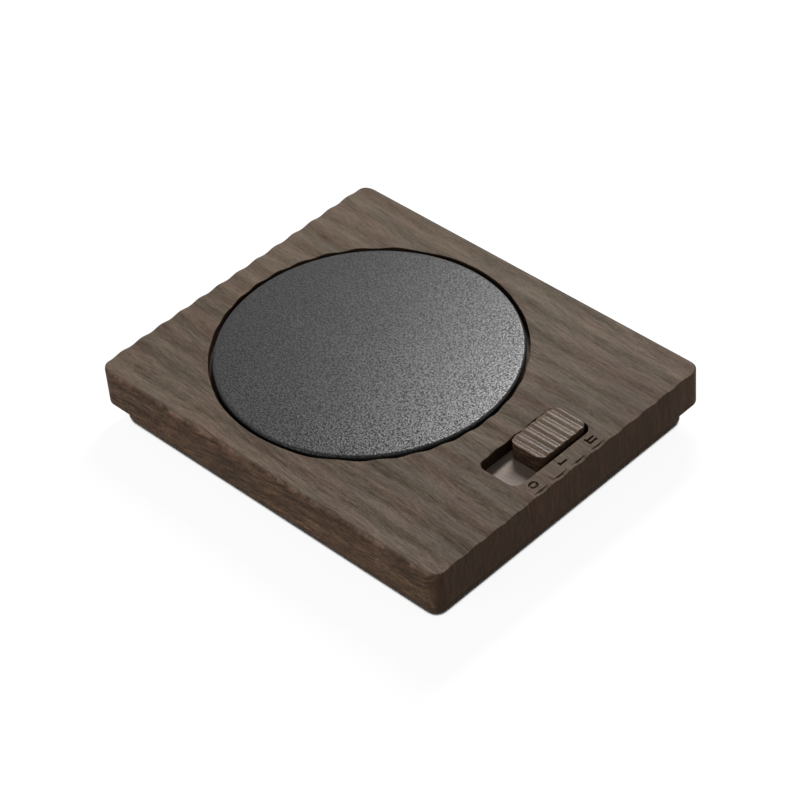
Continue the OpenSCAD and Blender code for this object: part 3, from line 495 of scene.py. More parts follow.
class Form:
    """Gathers the points and faces of one piece, in millimetres."""

    def __init__(self):
        self.points = []
        self.faces = []

    def loop(self, points):
        """Adds a row of points and gives their numbers."""
        start = len(self.points)
        self.points += [tuple(p) for p in points]
        return list(range(start, len(self.points)))

    def level(self, outline, z):
        """Adds an outline at one level."""
        return self.loop([(x, y, z) for x, y, _, _ in outline])

    def upright(self, outline, y):
        """Adds an outline of (x, z) places at one depth."""
        return self.loop([(x, y, z) for x, z, _, _ in outline])

    def lowered(self, loop, drop):
        """Adds a loop straight below another one."""
        return self.loop([(x, y, z - drop) for x, y, z in (self.points[i] for i in loop)])

    def flat(self, loop):
        """A loop's places seen from above."""
        return [self.points[i][:2] for i in loop]

    def between(self, spots, outer, holes):
        """Whether each spot lies inside a loop and outside its holes."""
        keep = inside(spots, self.flat(outer))
        for hole in holes:
            keep &= ~inside(spots, self.flat(hole))
        return keep

    def join(self, first, second):
        """Closes the band between two loops with as many points."""
        for (a, b), (c, d) in zip(sides_of(first), sides_of(second)):
            self.faces.append((a, b, d, c))

    def chain(self, loops):
        """Joins each loop to the next one."""
        for first, second in zip(loops, loops[1:]):
            self.join(first, second)

    def cap(self, loop, point=None):
        """Closes a loop with triangles round a point, which is its middle if none is given."""
        if point is None:
            point = np.mean([self.points[i] for i in loop], axis=0)
        top = self.loop([point])[0]
        self.faces += [(here, there, top) for here, there in sides_of(loop)]

    def tube(self, loops):
        """Joins loops and closes both ends."""
        self.chain(loops)
        self.cap(loops[0])
        self.cap(loops[-1])

    def fill(self, outer, holes=(), lines=(), spots=()):
        """Closes a level region that has holes, keeping lines and spots as points of it.

        The lines are (numbers of points, whether the line is closed)."""
        rims = all_rims(outer, holes, lines)
        used = list(dict.fromkeys(i for line, _ in rims for i in line)) + self.loop(spots)
        place = {number: k for k, number in enumerate(used)}
        edges = [(place[a], place[b]) for line, closed in rims for a, b in sides_of(line, closed)]
        made = delaunay_2d_cdt([Vector(p) for p in self.flat(used)], edges, [], 0, SAME_PLACE)
        if len(made[0]) != len(used):
            raise RuntimeError(f"lines cross: {len(used)} points became {len(made[0])}")
        back = [used[sources[0]] for sources in made[3]]
        faces = [tuple(back[i] for i in f) for f in made[2]]
        centres = np.array([np.mean(self.flat(f), axis=0) for f in faces])
        keep = self.between(centres, outer, holes)
        self.faces += [f for f, kept in zip(faces, keep) if kept]

    def relief(self, outer, surface, box, grid, holes=(), lines=()):
        """Closes a curved top. A grid of spots carries its shape, clear of all its lines; the
        grid is its steps along X and Y and the gap that it keeps."""
        step_x, step_y, gap = grid
        (low_x, low_y), (high_x, high_y) = box
        spots = np.array([(x, y) for x in np.arange(low_x, high_x + step_x / 2, step_x)
                          for y in np.arange(low_y, high_y + step_y / 2, step_y)])
        rims = all_rims(outer, holes, lines)
        edges = [side for line, closed in rims for side in sides_of(self.flat(line), closed)]
        keep = self.between(spots, outer, holes) & clear_of(spots, edges, gap)
        self.fill(outer, holes, lines, [(x, y, surface(x, y)) for x, y in spots[keep]])

    def rolled(self, outline, radius, surface, steps, up=1):
        """Rounded edge between a wall and a surface; gives its loops from the wall on."""
        loops = []
        for j in range(steps + 1):
            a = QUARTER * j / steps
            points = []
            for x, y, nx, ny in outline:
                r = radius(nx, ny)
                px = x - nx * r * (1 - math.cos(a))
                py = y - ny * r * (1 - math.cos(a))
                points.append((px, py, surface(px, py) - up * r * (1 - math.sin(a))))
            loops.append(self.loop(points))
        self.chain(loops)
        return loops[0], loops[-1]

    def rolled_foot(self, outline, radius, z, steps):
        """Rounded lower edge of a wall; gives its loops from the wall on."""
        return self.rolled(outline, lambda nx, ny: radius, lambda x, y: z, steps, up=-1)

    def turned(self, place, profile, count=SMALL_RING):
        """Joined rings of a profile of (radius, level) round an upright axis."""
        rings = [self.level(round_outline(place, radius, count), z) for radius, z in profile]
        self.chain(rings)
        return rings

    def post(self, place, profile, count=SMALL_RING):
        """Turned post or hole, closed at its end; gives its first ring."""
        rings = self.turned(place, profile, count)
        self.cap(rings[-1])
        return rings[0]

    def lathe(self, place, profile, count):
        """Turned body of a profile that starts and ends on its axis."""
        (_, low), *middle_part, (_, high) = profile
        rings = self.turned(place, middle_part, count)
        self.cap(rings[0], (*place, low))
        self.cap(rings[-1], (*place, high))

    def piece(self, name, sharp=SHARP):
        """Makes the piece, smooth but for its sharp edges."""
        mesh = bpy.data.meshes.new(name)
        mesh.from_pydata([Vector(p) * MM for p in self.points], [], self.faces)
        made = bpy.data.objects.new(name, mesh)
        bpy.context.scene.collection.objects.link(made)
        return settled(made, sharp)


def settled(made, sharp=SHARP):
    """Turns all faces outwards and marks the sharp edges of a piece."""
    work = bmesh.new()
    work.from_mesh(made.data)
    bmesh.ops.remove_doubles(work, verts=work.verts, dist=DOUBLE)
    bmesh.ops.dissolve_degenerate(work, edges=work.edges, dist=DOUBLE / 10)
    bmesh.ops.recalc_face_normals(work, faces=work.faces)
    open_edges = [e for e in work.edges if not e.is_manifold]
    work.to_mesh(made.data)
    work.free()
    if open_edges:
        raise RuntimeError(f"{made.name} has {len(open_edges)} open edges")
    made.data.shade_smooth()
    made.data.set_sharp_from_angle(angle=math.radians(sharp))
    return made


def carved(piece, cutter):
    """Cuts one piece out of another."""
    step = piece.modifiers.new("Opening", "BOOLEAN")
    step.operation = "DIFFERENCE"
    step.solver = "EXACT"
    step.object = cutter
    graph = bpy.context.evaluated_depsgraph_get()
    mesh = bpy.data.meshes.new_from_object(piece.evaluated_get(graph))
    piece.modifiers.clear()
    piece.data = mesh
    bpy.data.objects.remove(cutter)
    return settled(piece)


def placed(piece, body, slot, finish, *nodes):
    """Gives a piece its finish and its body, and hides the CAD nodes that it stands for; the slot
    is not used.
    """
    piece.data.materials.clear()
    piece.data.materials.append(finish)
    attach(piece, body)
    if nodes:
        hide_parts(*nodes)


# Finishes


class Nodes:
    """Builds the nodes of a material or of the surroundings."""

    def __init__(self, tree):
        self.tree = tree
        tree.nodes.clear()

    def node(self, kind, inputs=None, **settings):
        """Adds a node and sets or links its sockets."""
        made = self.tree.nodes.new(kind)
        for key, value in settings.items():
            setattr(made, key, value)
        for key, value in (inputs or {}).items():
            self.feed(made.inputs[key], value)
        return made

    def feed(self, socket, value):
        """Links a socket, or sets its value."""
        if isinstance(value, bpy.types.NodeSocket):
            self.tree.links.new(value, socket)
        else:
            socket.default_value = value

    def maths(self, operation, first, second=0.0):
        """Two values put together."""
        return self.node("ShaderNodeMath", {0: first, 1: second}, operation=operation).outputs[0]

    def times(self, *values):
        """Values multiplied, from the first to the last."""
        return reduce(partial(self.maths, "MULTIPLY"), values)

    def plus(self, *values):
        """Values added, from the first to the last."""
        return reduce(partial(self.maths, "ADD"), values)

    def minus(self, first, second):
        """The second value taken from the first."""
        return self.maths("SUBTRACT", first, second)

    def spread(self, value, low, high, to_low=0.0, to_high=1.0):
        """A value's range mapped to another range, and held there."""
        return self.node("ShaderNodeMapRange", {
            "Value": value, "From Min": low, "From Max": high, "To Min": to_low,
            "To Max": to_high}).outputs[0]

    def parts(self, vector):
        """The X, Y and Z of a vector."""
        return self.node("ShaderNodeSeparateXYZ", {0: vector}).outputs

    def seen(self):
        """1 where the eye, a mirror or a clear piece shows the surface, and 0 for its light."""
        path = self.node("ShaderNodeLightPath").outputs
        seen = self.maths("MAXIMUM", path["Is Camera Ray"], path["Is Glossy Ray"])
        return self.maths("MAXIMUM", seen, path["Is Transmission Ray"])


class Finish(Nodes):
    """Builds one material. All scales are per millimetre on the piece."""

    def __init__(self, name):
        self.material = bpy.data.materials.get(name) or bpy.data.materials.new(name)
        self.material.use_nodes = True
        super().__init__(self.material.node_tree)
        self.shader = self.node("ShaderNodeBsdfPrincipled")
        self.node("ShaderNodeOutputMaterial", {0: self.shader.outputs[0]})
        place = self.node("ShaderNodeTexCoord")
        self.here, self.facing = place.outputs["Object"], place.outputs["Normal"]

    def spot(self):
        """The place on the piece, in millimetres."""
        scaled = self.node("ShaderNodeVectorMath", {0: self.here, "Scale": 1 / MM},
                           operation="SCALE")
        return self.parts(scaled.outputs[0])

    def stretched(self, *scale, shift=(0, 0, 0)):
        """Coordinates stretched along each axis, or by one number along all three."""
        x, y, z = scale if len(scale) == 3 else scale * 3
        return self.node("ShaderNodeMapping", {
            "Vector": self.here, "Scale": (x / MM, y / MM, z / MM),
            "Location": shift}).outputs[0]

    def noise(self, vector, detail=2.0, rough=0.5, distortion=0.0):
        """Noise from 0 to 1."""
        return self.node("ShaderNodeTexNoise", {
            "Vector": vector, "Scale": 1.0, "Detail": detail, "Roughness": rough,
            "Distortion": distortion}).outputs[0]

    def blend(self, part, first, second, kind="MIX"):
        """Two colours blended; a plain colour has three or four numbers."""
        made = self.node("ShaderNodeMix", data_type="RGBA", blend_type=kind)
        for socket, value in ((0, part), (6, first), (7, second)):
            self.feed(made.inputs[socket], value)
        return made.outputs[2]

    def colour(self, value):
        """Sets or links the colour."""
        self.feed(self.shader.inputs["Base Color"], value)

    def set(self, **values):
        """Sets or links other sockets of the shader, by their names with _ for spaces."""
        for key, value in values.items():
            self.feed(self.shader.inputs[key.replace("_", " ")], value)

    def bump(self, height, distance, strength=1.0, below=None):
        """Bump of a height map; the distance is in millimetres."""
        made = self.node("ShaderNodeBump", {"Height": height, "Distance": distance * MM,
                                            "Strength": strength})
        if below is not None:
            self.feed(made.inputs["Normal"], below)
        return made.outputs[0]


def solid(colour_value, level=1.0):
    """A colour at a level, with full cover."""
    return tuple(min(1, c * level) for c in colour_value[:3]) + (1.0,)


def painted_wall_shade(f, spot, facing):
    """Painted shade on the walls of the round opening and of the slot: how dark they are drawn."""
    h, w = sizes("warmer_housing"), sizes("warmer_switch")
    from_middle = f.node("ShaderNodeCombineXYZ", {"X": f.minus(spot["X"], PLATE_X),
                                                  "Y": spot["Y"]}).outputs[0]
    reach = f.node("ShaderNodeVectorMath", {0: from_middle}, operation="LENGTH").outputs["Value"]
    near, far = WALL_SHADE_REACH
    opening = f.spread(reach, h.hole / 2 + near, h.hole / 2 + far, 1, 0)
    within = []
    for axis, centre, half in (("X", SLOT.x, w.slot_w / 2), ("Y", SLOT.y, w.slot_len / 2)):
        away = f.maths("ABSOLUTE", f.minus(spot[axis], centre))
        within.append(f.spread(away, half + near, half + far, 1, 0))
    steep = f.spread(f.maths("ABSOLUTE", facing["Z"]), 0.3, 0.8, sizes("warmer_looks").wall_shade, 0)
    return f.times(f.maths("MAXIMUM", opening, f.times(*within)), steep)


def painted_edge_highlight(f, facing, patches):
    """Painted highlight on the rounded edges towards the front left, in patches: how much paler
    they are drawn.
    """
    turning = f.times(f.spread(facing["Z"], 0.1, 0.5), f.spread(facing["Z"], 0.87, 0.97, 1, 0))
    for axis in "XY":
        turning = f.times(turning, f.spread(facing[axis], 0.0, 0.3, 1, 0))
    return f.times(turning, patches)


def walnut_finish(name="Walnut", upper="top", contrast=1.0, shift=0.0, gloss=None, rough=None,
                  fine=1.0, bend=1.3, sides=1.0, edge_light=1.0):
    """Walnut with short fibres along X, which run on down the long sides and turn upright on
    the ends: soft bands, streaks, fine fibres, dark dashes and a change from pink to olive.
    Painted light: its upper faces take a paler, greyer tone that stands for sheen, its upright
    faces can be darkened as shade, its rounded front-left edges and a strip of the top along the
    front are drawn paler as highlight, and the far edge's roll and the openings' walls are drawn
    darker as shade."""
    looks = bpy.context.scene.warmer_looks
    f = Finish(name)
    gloss = looks.wood_gloss if gloss is None else gloss
    rough = looks.wood_rough if rough is None else rough
    spot, facing = f.spot(), f.parts(f.facing)
    long_side = f.spread(f.maths("ABSOLUTE", facing["Y"]), 0.45, 0.95)
    # How much a face counts as upper; faces tipped to the front count more. This mask carries the
    # painted sheen of the upper tones and the painted shade of upright faces
    lift = f.spread(facing["Y"], -0.35, -0.05, 0.35, 0)
    upwards = f.spread(f.plus(facing["Z"], lift), 0.78, 0.985)

    def grain(across, along, sideways, place, detail=2.0, rough=0.5):
        """Noise that is stretched along the fibres: its scales along and across them, and a
        place of its own so that no two are alike."""
        vector = f.node("ShaderNodeCombineXYZ", {
            "X": spot["X"], "Y": across, "Z": f.times(spot["Z"], 0.10)}).outputs[0]
        return f.noise(f.node("ShaderNodeMapping", {
            "Vector": vector, "Scale": (along, sideways, sideways),
            "Location": (place + shift, place + shift, shift)}).outputs[0], detail, rough)

    # The way across the fibres: it slants, runs on down the long sides, wanders and kinks
    down = f.times(f.minus(spot["Z"], HOUSING_HIGH.z), 0.7)
    straight = f.minus(f.plus(spot["Y"], f.times(spot["X"], looks.slant)),
                       f.times(long_side, down))
    wander = f.spread(grain(straight, 0.025, 0.05, 3.0, 1.0), *NOISE, -bend, bend)
    bent = f.plus(straight, wander)
    kink = 0.11 * bend
    kinks = f.spread(grain(bent, 0.10, 0.25, 7.0, 1.0), *NOISE, -kink, kink)
    across = f.plus(bent, kinks)

    bands = grain(across, 0.02, 0.11, 11.0)
    streaks = grain(across, 0.06, 0.48 * fine, 5.0, 4.0, 0.65)
    fibres = grain(across, 0.22, 1.7 * fine, 17.0, 3.0, 0.65)
    dashes = grain(across, 0.15, 1.5 * fine, 29.0, 1.0)
    speck = grain(across, 1.1, 1.9, 23.0, 1.0)
    hue = grain(across, 0.03, 0.16, 41.0, 3.0, 0.55)
    patches = f.spread(grain(across, 0.09, 0.2, 53.0), 0.40, 0.58, 0.2, 1.3)

    # How light the wood is. The grain of the top grows stronger from far left to near right
    nearness = f.times(f.minus(spot["X"], spot["Y"]), upwards)
    strength = f.spread(nearness, *GRAIN_REACH, 0.75, 1.3)
    level = f.spread(bands, *NOISE, 1 - 0.12 * contrast, 1 + 0.12 * contrast)
    for value, share_of_level in ((streaks, 0.20), (fibres, 0.25), (speck, 0.10)):
        reach = share_of_level * contrast
        part = f.times(f.spread(value, *NOISE, -reach, reach), strength)
        level = f.times(level, f.plus(part, 1))
    # Painted shade: upright faces are drawn darker by the sides factor
    level = f.times(level, f.spread(upwards, 0, 1, sides, 1))
    level = f.maths("POWER", level, f.spread(long_side, 0, 1, 1, 2.3))
    # Painted highlight on the rounded edges towards the front left
    edge_highlight = painted_edge_highlight(f, facing, patches)
    fades, ends = (HOUSING_LOW.y + away for away in FRONT_STRIP_HIGHLIGHT)
    # Painted highlight on a strip of the top along the front
    strip = f.times(f.spread(facing["Z"], 0.94, 1.0), f.spread(spot["Y"], fades, ends, 1, 0))
    # Painted shade on the roll of the far edge
    far_edge_shade = f.times(f.spread(facing["Z"], 0.1, 0.4), f.spread(facing["Y"], 0.2, 0.5))
    paler = looks.edge_light * edge_light
    level = f.times(level, f.spread(edge_highlight, 0, 1.3, 1, 1 + 1.5 * paler),
                    f.spread(strip, 0, 1, 1, 1 + 0.6 * paler), f.spread(far_edge_shade, 0, 1, 1, 0.4))

    # The painted edge highlight is also drawn pinker
    pinker = f.maths("MAXIMUM", f.spread(hue, 0.38, 0.64), f.spread(edge_highlight, 0, 0.5))
    # Upright faces take the side tones and upper faces the upper tones; the housing's paler,
    # greyer top tones are painted sheen
    low = f.blend(pinker, solid(looks.side_olive), solid(looks.side_pink))
    high = f.blend(pinker, solid(getattr(looks, upper + "_olive")),
                   solid(getattr(looks, upper + "_pink")))
    lightness = f.node("ShaderNodeCombineColor", {"Red": level, "Green": level, "Blue": level})
    base = f.blend(1.0, f.blend(upwards, low, high), lightness.outputs[0], "MULTIPLY")
    if upper == "top":
        # Painted shade on the walls of the round opening and of the slot, drawn in the pore tone
        base = f.blend(painted_wall_shade(f, spot, facing), base, solid(looks.pore))
    hollow = f.spread(dashes, 0.61, 0.70)
    f.colour(f.blend(f.times(hollow, 0.36 * contrast, strength), base, solid(looks.pore)))
    f.set(Roughness=f.spread(fibres, *NOISE, rough - 0.04, rough + 0.04),
          Specular_IOR_Level=gloss,
          Normal=f.bump(hollow, -0.04, 0.6, f.bump(fibres, 0.04, 0.6)))
    return f.material


def coating_finish():
    """Rough black coating of the heating plate. It glitters, most towards the near right, and
    has painted shade where it rolls down into the gap."""
    looks = bpy.context.scene.warmer_looks
    f = Finish("Black coating")
    grit = f.noise(f.stretched(1.9), detail=1.0)
    fine = f.noise(f.stretched(3.6, shift=(31, 7, 3)), detail=1.0)
    height = f.plus(f.times(grit, 0.7), f.times(fine, 0.3))
    # Painted shade: where the coating turns down into the gap it is drawn at half its tone
    face = f.spread(f.parts(f.facing)["Z"], 0.3, 0.85)
    coat = f.blend(f.spread(height, 0.36, 0.64), solid(looks.coating), solid(looks.coating, 1.04))
    f.colour(f.blend(face, solid(looks.coating, 0.5), coat))

    patch = f.noise(f.stretched(0.05))
    rough = f.plus(f.spread(patch, 0.35, 0.65, -0.012, 0.012), looks.coat_rough)
    sparkle = f.noise(f.stretched(1.9, shift=(5, 17, 9)), detail=1.5, rough=0.6)
    spot = f.spot()
    strength = f.spread(f.minus(spot["X"], spot["Y"]), *GLITTER_REACH, 0.65, 1.15)
    reach = 0.87 * looks.coat_gloss
    glint = f.times(f.spread(sparkle, 0.38, 0.62, -reach, reach), strength)
    gloss = f.times(f.plus(glint, looks.coat_gloss), f.spread(face, 0, 1, 0.4, 1))
    f.set(Roughness=rough, Specular_IOR_Level=gloss, Normal=f.bump(height, 0.07))
    return f.material


def rubber_finish():
    """Black rubber with a fine grain."""
    f = Finish("Black rubber")
    smear = f.noise(f.stretched(0.3))
    dark = bpy.context.scene.warmer_looks.rubber
    f.colour(f.blend(f.spread(smear, 0.35, 0.7), solid(dark), solid(dark, 1.7)))
    f.set(Roughness=f.spread(smear, *NOISE, 0.62, 0.78), Specular_IOR_Level=0.35,
          Normal=f.bump(f.noise(f.stretched(3)), 0.03, 0.6))
    return f.material


def metal_finish(name, text, rough, along=(0.2, 4.0, 4.0)):
    """Metal with fine lines along one axis and smudges."""
    f = Finish(name)
    lines = f.noise(f.stretched(*along), detail=3.0, rough=0.6)
    smudge = f.spread(f.noise(f.stretched(0.25)), *NOISE, -0.06, 0.08)
    base = tone(text)
    f.colour(f.blend(f.spread(lines, *NOISE), solid(base, 0.78), base))
    f.set(Roughness=f.plus(smudge, rough), Metallic=1.0, Normal=f.bump(lines, 0.006, 0.5))
    return f.material


def plastic_finish(name, text, rough=0.45, grain=2.2):
    """Moulded plastic with a fine grain and faint flow marks."""
    f = Finish(name)
    fine = f.noise(f.stretched(grain))
    flow = f.noise(f.stretched(0.1, 0.35, 0.35))
    base = tone(text)
    f.colour(f.blend(f.spread(flow, *NOISE), solid(base, 0.86), base))
    f.set(Roughness=f.plus(f.spread(fine, *NOISE, -0.04, 0.06), rough),
          Normal=f.bump(fine, 0.01, 0.5))
    return f.material


def foil_finish():
    """Amber film with the winding tracks of the heater inside it."""
    f = Finish("Heater film")
    ring = f.node("ShaderNodeTexWave", {
        "Vector": f.stretched(1, 1, 0, shift=(-PLATE_X, 0, 0)), "Scale": 0.12,
        "Distortion": 0.6, "Detail": 0.0}, wave_type="RINGS", rings_direction="Z").outputs[0]
    track = f.spread(ring, 0.42, 0.5)
    f.colour(f.blend(track, tone("#c4772c"), tone("#6e4420")))
    f.set(Roughness=f.spread(track, 0, 1, 0.28, 0.4), Normal=f.bump(track, 0.03, 0.7))
    return f.material


def fibre_finish():
    """Pressed white fibre."""
    f = Finish("Pressed fibre")
    felt = f.noise(f.stretched(1.2, 1.2, 4.0), detail=5.0, rough=0.7, distortion=1.2)
    f.colour(f.blend(f.spread(felt, *NOISE), tone("#bdb8ab"), tone("#e9e6de")))
    f.set(Roughness=0.95, Normal=f.bump(felt, 0.12, 0.9))
    return f.material


def board_finish():
    """Green board with copper tracks under its lacquer and a weave at its edges."""
    f = Finish("Circuit board")
    blocks = f.node("ShaderNodeTexVoronoi", {"Vector": f.stretched(0.32, 0.32, 0.0),
                                             "Scale": 1.0}).outputs["Color"]
    bent = f.node("ShaderNodeVectorMath", {0: f.stretched(0.3), 1: blocks}, operation="ADD")
    tracks = f.node("ShaderNodeTexBrick", {
        "Vector": bent.outputs[0], "Scale": 1.0, "Mortar Size": 0.06,
        "Mortar Smooth": 0.2}).outputs["Fac"]
    weave = f.noise(f.stretched(2.0, 2.0, 6.0))
    base = f.blend(f.spread(weave, *NOISE), tone("#174a30"), tone("#22633f"))
    f.colour(f.blend(f.times(tracks, 0.5), base, tone("#3f8a52")))
    f.set(Roughness=f.spread(weave, *NOISE, 0.3, 0.42), Normal=f.bump(tracks, 0.03, 0.8))
    return f.material


# Pieces


class WARMER_OT_camera(bpy.types.Operator):
    """Sets the camera at the photograph's viewing angle"""

    bl_idname = "warmer.camera"
    bl_label = "Camera"

    def execute(self, context):
        turn, lift, lean = (math.radians(v) for v in (CAMERA_TURN, CAMERA_LIFT, CAMERA_LEAN))
        back = Vector((math.sin(turn) * math.cos(lift), -math.cos(turn) * math.cos(lift),
                       math.sin(lift)))
        right = Vector((math.cos(turn), math.sin(turn), 0))
        up = back.cross(right)
        c, s = math.cos(lean), math.sin(lean)
        axes = Matrix((c * right + s * up, c * up - s * right, back)).transposed()
        data = bpy.data.cameras.new("Camera")
        data.sensor_width = CAMERA_SENSOR
        data.lens = CAMERA_LENS
        data.clip_start, data.clip_end = CAMERA_NEAR * MM, CAMERA_FAR * MM
        camera = bpy.data.objects.new("Camera", data)
        context.scene.collection.objects.link(camera)
        place = Vector(CAMERA_TARGET) * MM + back * CAMERA_DISTANCE * MM
        camera.matrix_world = Matrix.Translation(place) @ axes.to_4x4()
        context.scene.camera = camera
        return {"FINISHED"}


class Housing:
    """The walnut housing, built part by part in millimetres."""

    def __init__(self):
        self.h, self.w = sizes("warmer_housing"), sizes("warmer_switch")
        self.wide = HOUSING_HIGH.x - HOUSING_LOW.x
        self.deep = HOUSING_HIGH.y - HOUSING_LOW.y
        self.mean = HOUSING_HIGH.z - self.h.ripple / 2
        self.under = self.mean - self.h.roof
        self.panel = self.mean + self.w.panel_up
        self.panel_left = SLOT.x + self.w.slot_w / 2
        self.panel_right = self.panel_left + self.w.panel_w
        self.front = SLOT.y - self.w.panel_len / 2
        self.back = SLOT.y + self.w.panel_len / 2
        self.form = Form()
        self.lines = []

    def ripple(self, x, y):
        """Level of the ripples."""
        return self.mean + self.h.ripple / 2 * math.cos(2 * math.pi * y / self.h.pitch)

    def surface(self, x, y):
        """Level of the top: its ripples run out into the level label panel."""
        if x > self.panel_right + self.w.step / 2:
            return self.ripple(x, y)
        beyond = math.hypot(max(self.front - y, y - self.back, 0), max(self.panel_left - x, 0))
        part = min(beyond / self.w.panel_end, 1)
        return self.panel + (self.ripple(x, y) - self.panel) * part ** 2 * (3 - 2 * part)

    def edge(self, nx, ny):
        """Rounding of the top edge, wide along the long sides and fine at the ends."""
        return self.h.end_edge * nx * nx + self.h.long_edge * ny * ny

    def walls(self):
        """Outer wall from the rolled top edge to the rounded foot, the rim and the cavity."""
        h, form, foot = self.h, self.form, HOUSING_LOW.z
        outer = rounded_outline((0, 0), self.wide, self.deep, h.corner, HOUSING_STEPS)
        wall_top, self.crown = form.rolled(outer, self.edge, self.ripple, steps=6)
        upper = form.lowered(wall_top, EDGE_BAND)
        lower = form.level(outer, foot + h.foot_edge + EDGE_BAND)
        foot_top, foot_low = form.rolled_foot(outer, h.foot_edge, foot, steps=4)
        cavity = rounded_outline((0, 0), self.wide - 2 * h.wall, self.deep - 2 * h.wall,
                                 h.corner - h.wall, HOUSING_STEPS)
        rim = form.level(cavity, foot)
        self.ceiling = form.level(cavity, self.under)
        form.chain([wall_top, upper, lower, foot_top])
        form.chain([foot_low, rim, self.ceiling])

    def opening(self, ring, stairs, edge, surface):
        """Wall of an opening: stairs of (distance out, level) down from the roof, then the
        rounded edge. Gives its loops in the roof's underside and in the top."""
        loops = [self.form.level(moved_out(ring, out), z) for out, z in stairs]
        low, top = self.form.rolled(facing_in(ring), lambda nx, ny: edge, surface, steps=4)
        self.form.chain(loops + [low])
        return loops[0], top

    def well(self):
        """Well and ledge of the heating plate."""
        h = self.h
        top, bottom = SEAL_LOW.z, SEAL_LOW.z - h.ledge_thick
        stairs = ((h.well, self.under), (h.well, bottom), (-h.ledge, bottom), (-h.ledge, top),
                  (0, top))
        ring = round_outline((PLATE_X, 0), h.hole / 2, PLATE_RING)
        self.well_root, self.hole_top = self.opening(ring, stairs, h.hole_edge, self.ripple)

    def slot(self):
        """Slot of the knob with the skirt round it."""
        w = self.w
        bottom = CARRIAGE_HIGH.z + w.run_gap
        stairs = ((w.skirt, self.under), (w.skirt, bottom), (0, bottom))
        ring = rounded_outline((SLOT.x, SLOT.y), w.slot_w, w.slot_len, w.slot_r, SLOT_STEPS)
        self.skirt_root, self.slot_top = self.opening(ring, stairs, w.slot_edge, self.surface)

    def panel_side(self):
        """Outer side of the label panel: a steep step to the ripples."""
        start, end = self.front - self.w.panel_end, self.back + self.w.panel_end
        for x in (self.panel_right, self.panel_right + self.w.step):
            row = [(x, start + (end - start) * i / PANEL_STEPS) for i in range(PANEL_STEPS + 1)]
            line = self.form.loop([(px, py, self.surface(px, py)) for px, py in row])
            self.lines.append((line, False))

    def engrave(self, shape, parts, draft):
        """Sinks a shape into the panel. Its walls lean by a draft, inwards if it is positive."""
        low = self.panel - self.w.mark_depth
        for outline, z in ((shape, self.panel), (shrunk(shape, draft), low)):
            line = self.form.loop([(x, y, z) for x, y in finely(outline, parts)])
            self.lines.append((line, True))

    def marks(self):
        """The marks O, I and II; the bars have a foot at one end."""
        w = self.w
        x, y = self.panel_left + w.mark_in, SLOT.y
        for inset, draft in ((0, w.mark_draft), (w.mark_w, -w.mark_draft)):
            ring = rounded_outline((x, y - w.mark_pitch), w.ring_w - 2 * inset,
                                   w.mark_h - 2 * inset, w.ring_w / 2 - inset, RING_MARK_STEPS)
            self.engrave([spot[:2] for spot in ring], parts=3, draft=draft)
        half_w, half_h = w.mark_w / 2, w.mark_h / 2
        bar = ((half_w, -half_h), (half_w, half_h), (-half_w, half_h),
               (-half_w, w.mark_w - half_h), (-w.serif, w.mark_w - half_h), (-w.serif, -half_h))
        x, y = x + w.bar_shift, y + w.bar_shift
        for cx, cy in ((x, y), (x - w.mark_gap / 2, y + w.mark_pitch),
                       (x + w.mark_gap / 2, y + w.mark_pitch)):
            self.engrave([(cx + dx, cy + dy) for dx, dy in bar], parts=8, draft=w.mark_draft)

    def roof(self):
        """Rippled top, and the roof's underside with its bosses, each with a pilot hole."""
        h, b, form, foot = self.h, sizes("warmer_base"), self.form, HOUSING_LOW.z
        box = ((-self.wide / 2, -self.deep / 2), (self.wide / 2, self.deep / 2))
        form.relief(self.crown, self.surface, box, TOP_GRID, (self.hole_top, self.slot_top),
                    self.lines)
        bosses = [(place, h.boss, h.pilot, foot, foot + h.pilot_depth)
                  for place in screw_places(b)]
        bosses += [((SLOT.x, y), h.guide_boss, h.guide_pilot, GUIDE_LOW.z + h.ear,
                    GUIDE_SCREWS_HIGH.z + self.w.fit)
                   for y in (GUIDE_SCREWS_LOW.y + b.small_head_r,
                             GUIDE_SCREWS_HIGH.y - b.small_head_r)]
        roots = [form.post(place, ((radius, self.under), (radius, low), (pilot, low),
                                   (pilot, depth)))
                 for place, radius, pilot, low, depth in bosses]
        form.fill(self.ceiling, [self.well_root, self.skirt_root] + roots)

    def inlet_opening(self):
        """Cutter for the power inlet in the rear wall, with a lead-in at its mouth."""
        h, inlet, wall_y = self.h, sizes("warmer_inlet"), HOUSING_HIGH.y
        centre = (middle("inlet_shell").x, INLET_HIGH.z - inlet.height / 2)
        wide = INLET_HIGH.x - INLET_LOW.x
        cutter = Form()
        loops = []
        for y, grow in ((wall_y + OVERRUN, h.opening_lead), (wall_y, h.opening_lead),
                        (wall_y - h.opening_lead, 0), (wall_y - h.wall - OVERRUN, 0)):
            gap = h.opening_gap + grow
            track = rounded_outline(centre, wide + 2 * gap, inlet.height + 2 * gap,
                                    inlet.height / 2 + gap, OPENING_STEPS)
            loops.append(cutter.upright(track, y))
        cutter.tube(loops)
        return cutter.piece("opening")


class WARMER_OT_housing(bpy.types.Operator):
    """Builds the rippled walnut housing with its opening, slot, label panel and marks"""

    bl_idname = "warmer.housing"
    bl_label = "Housing"

    def execute(self, context):
        work = Housing()
        for part in (work.walls, work.well, work.slot, work.panel_side, work.marks, work.roof):
            part()
        housing = carved(work.form.piece("housing"), work.inlet_opening())
        placed(housing, "warmer", "walnut", walnut_finish(), "top_housing")
        return {"FINISHED"}


def screw_places(b):
    """Places of the four base screws."""
    return four(SCREWS_HIGH.x - b.head_r, SCREWS_HIGH.y - b.head_r)


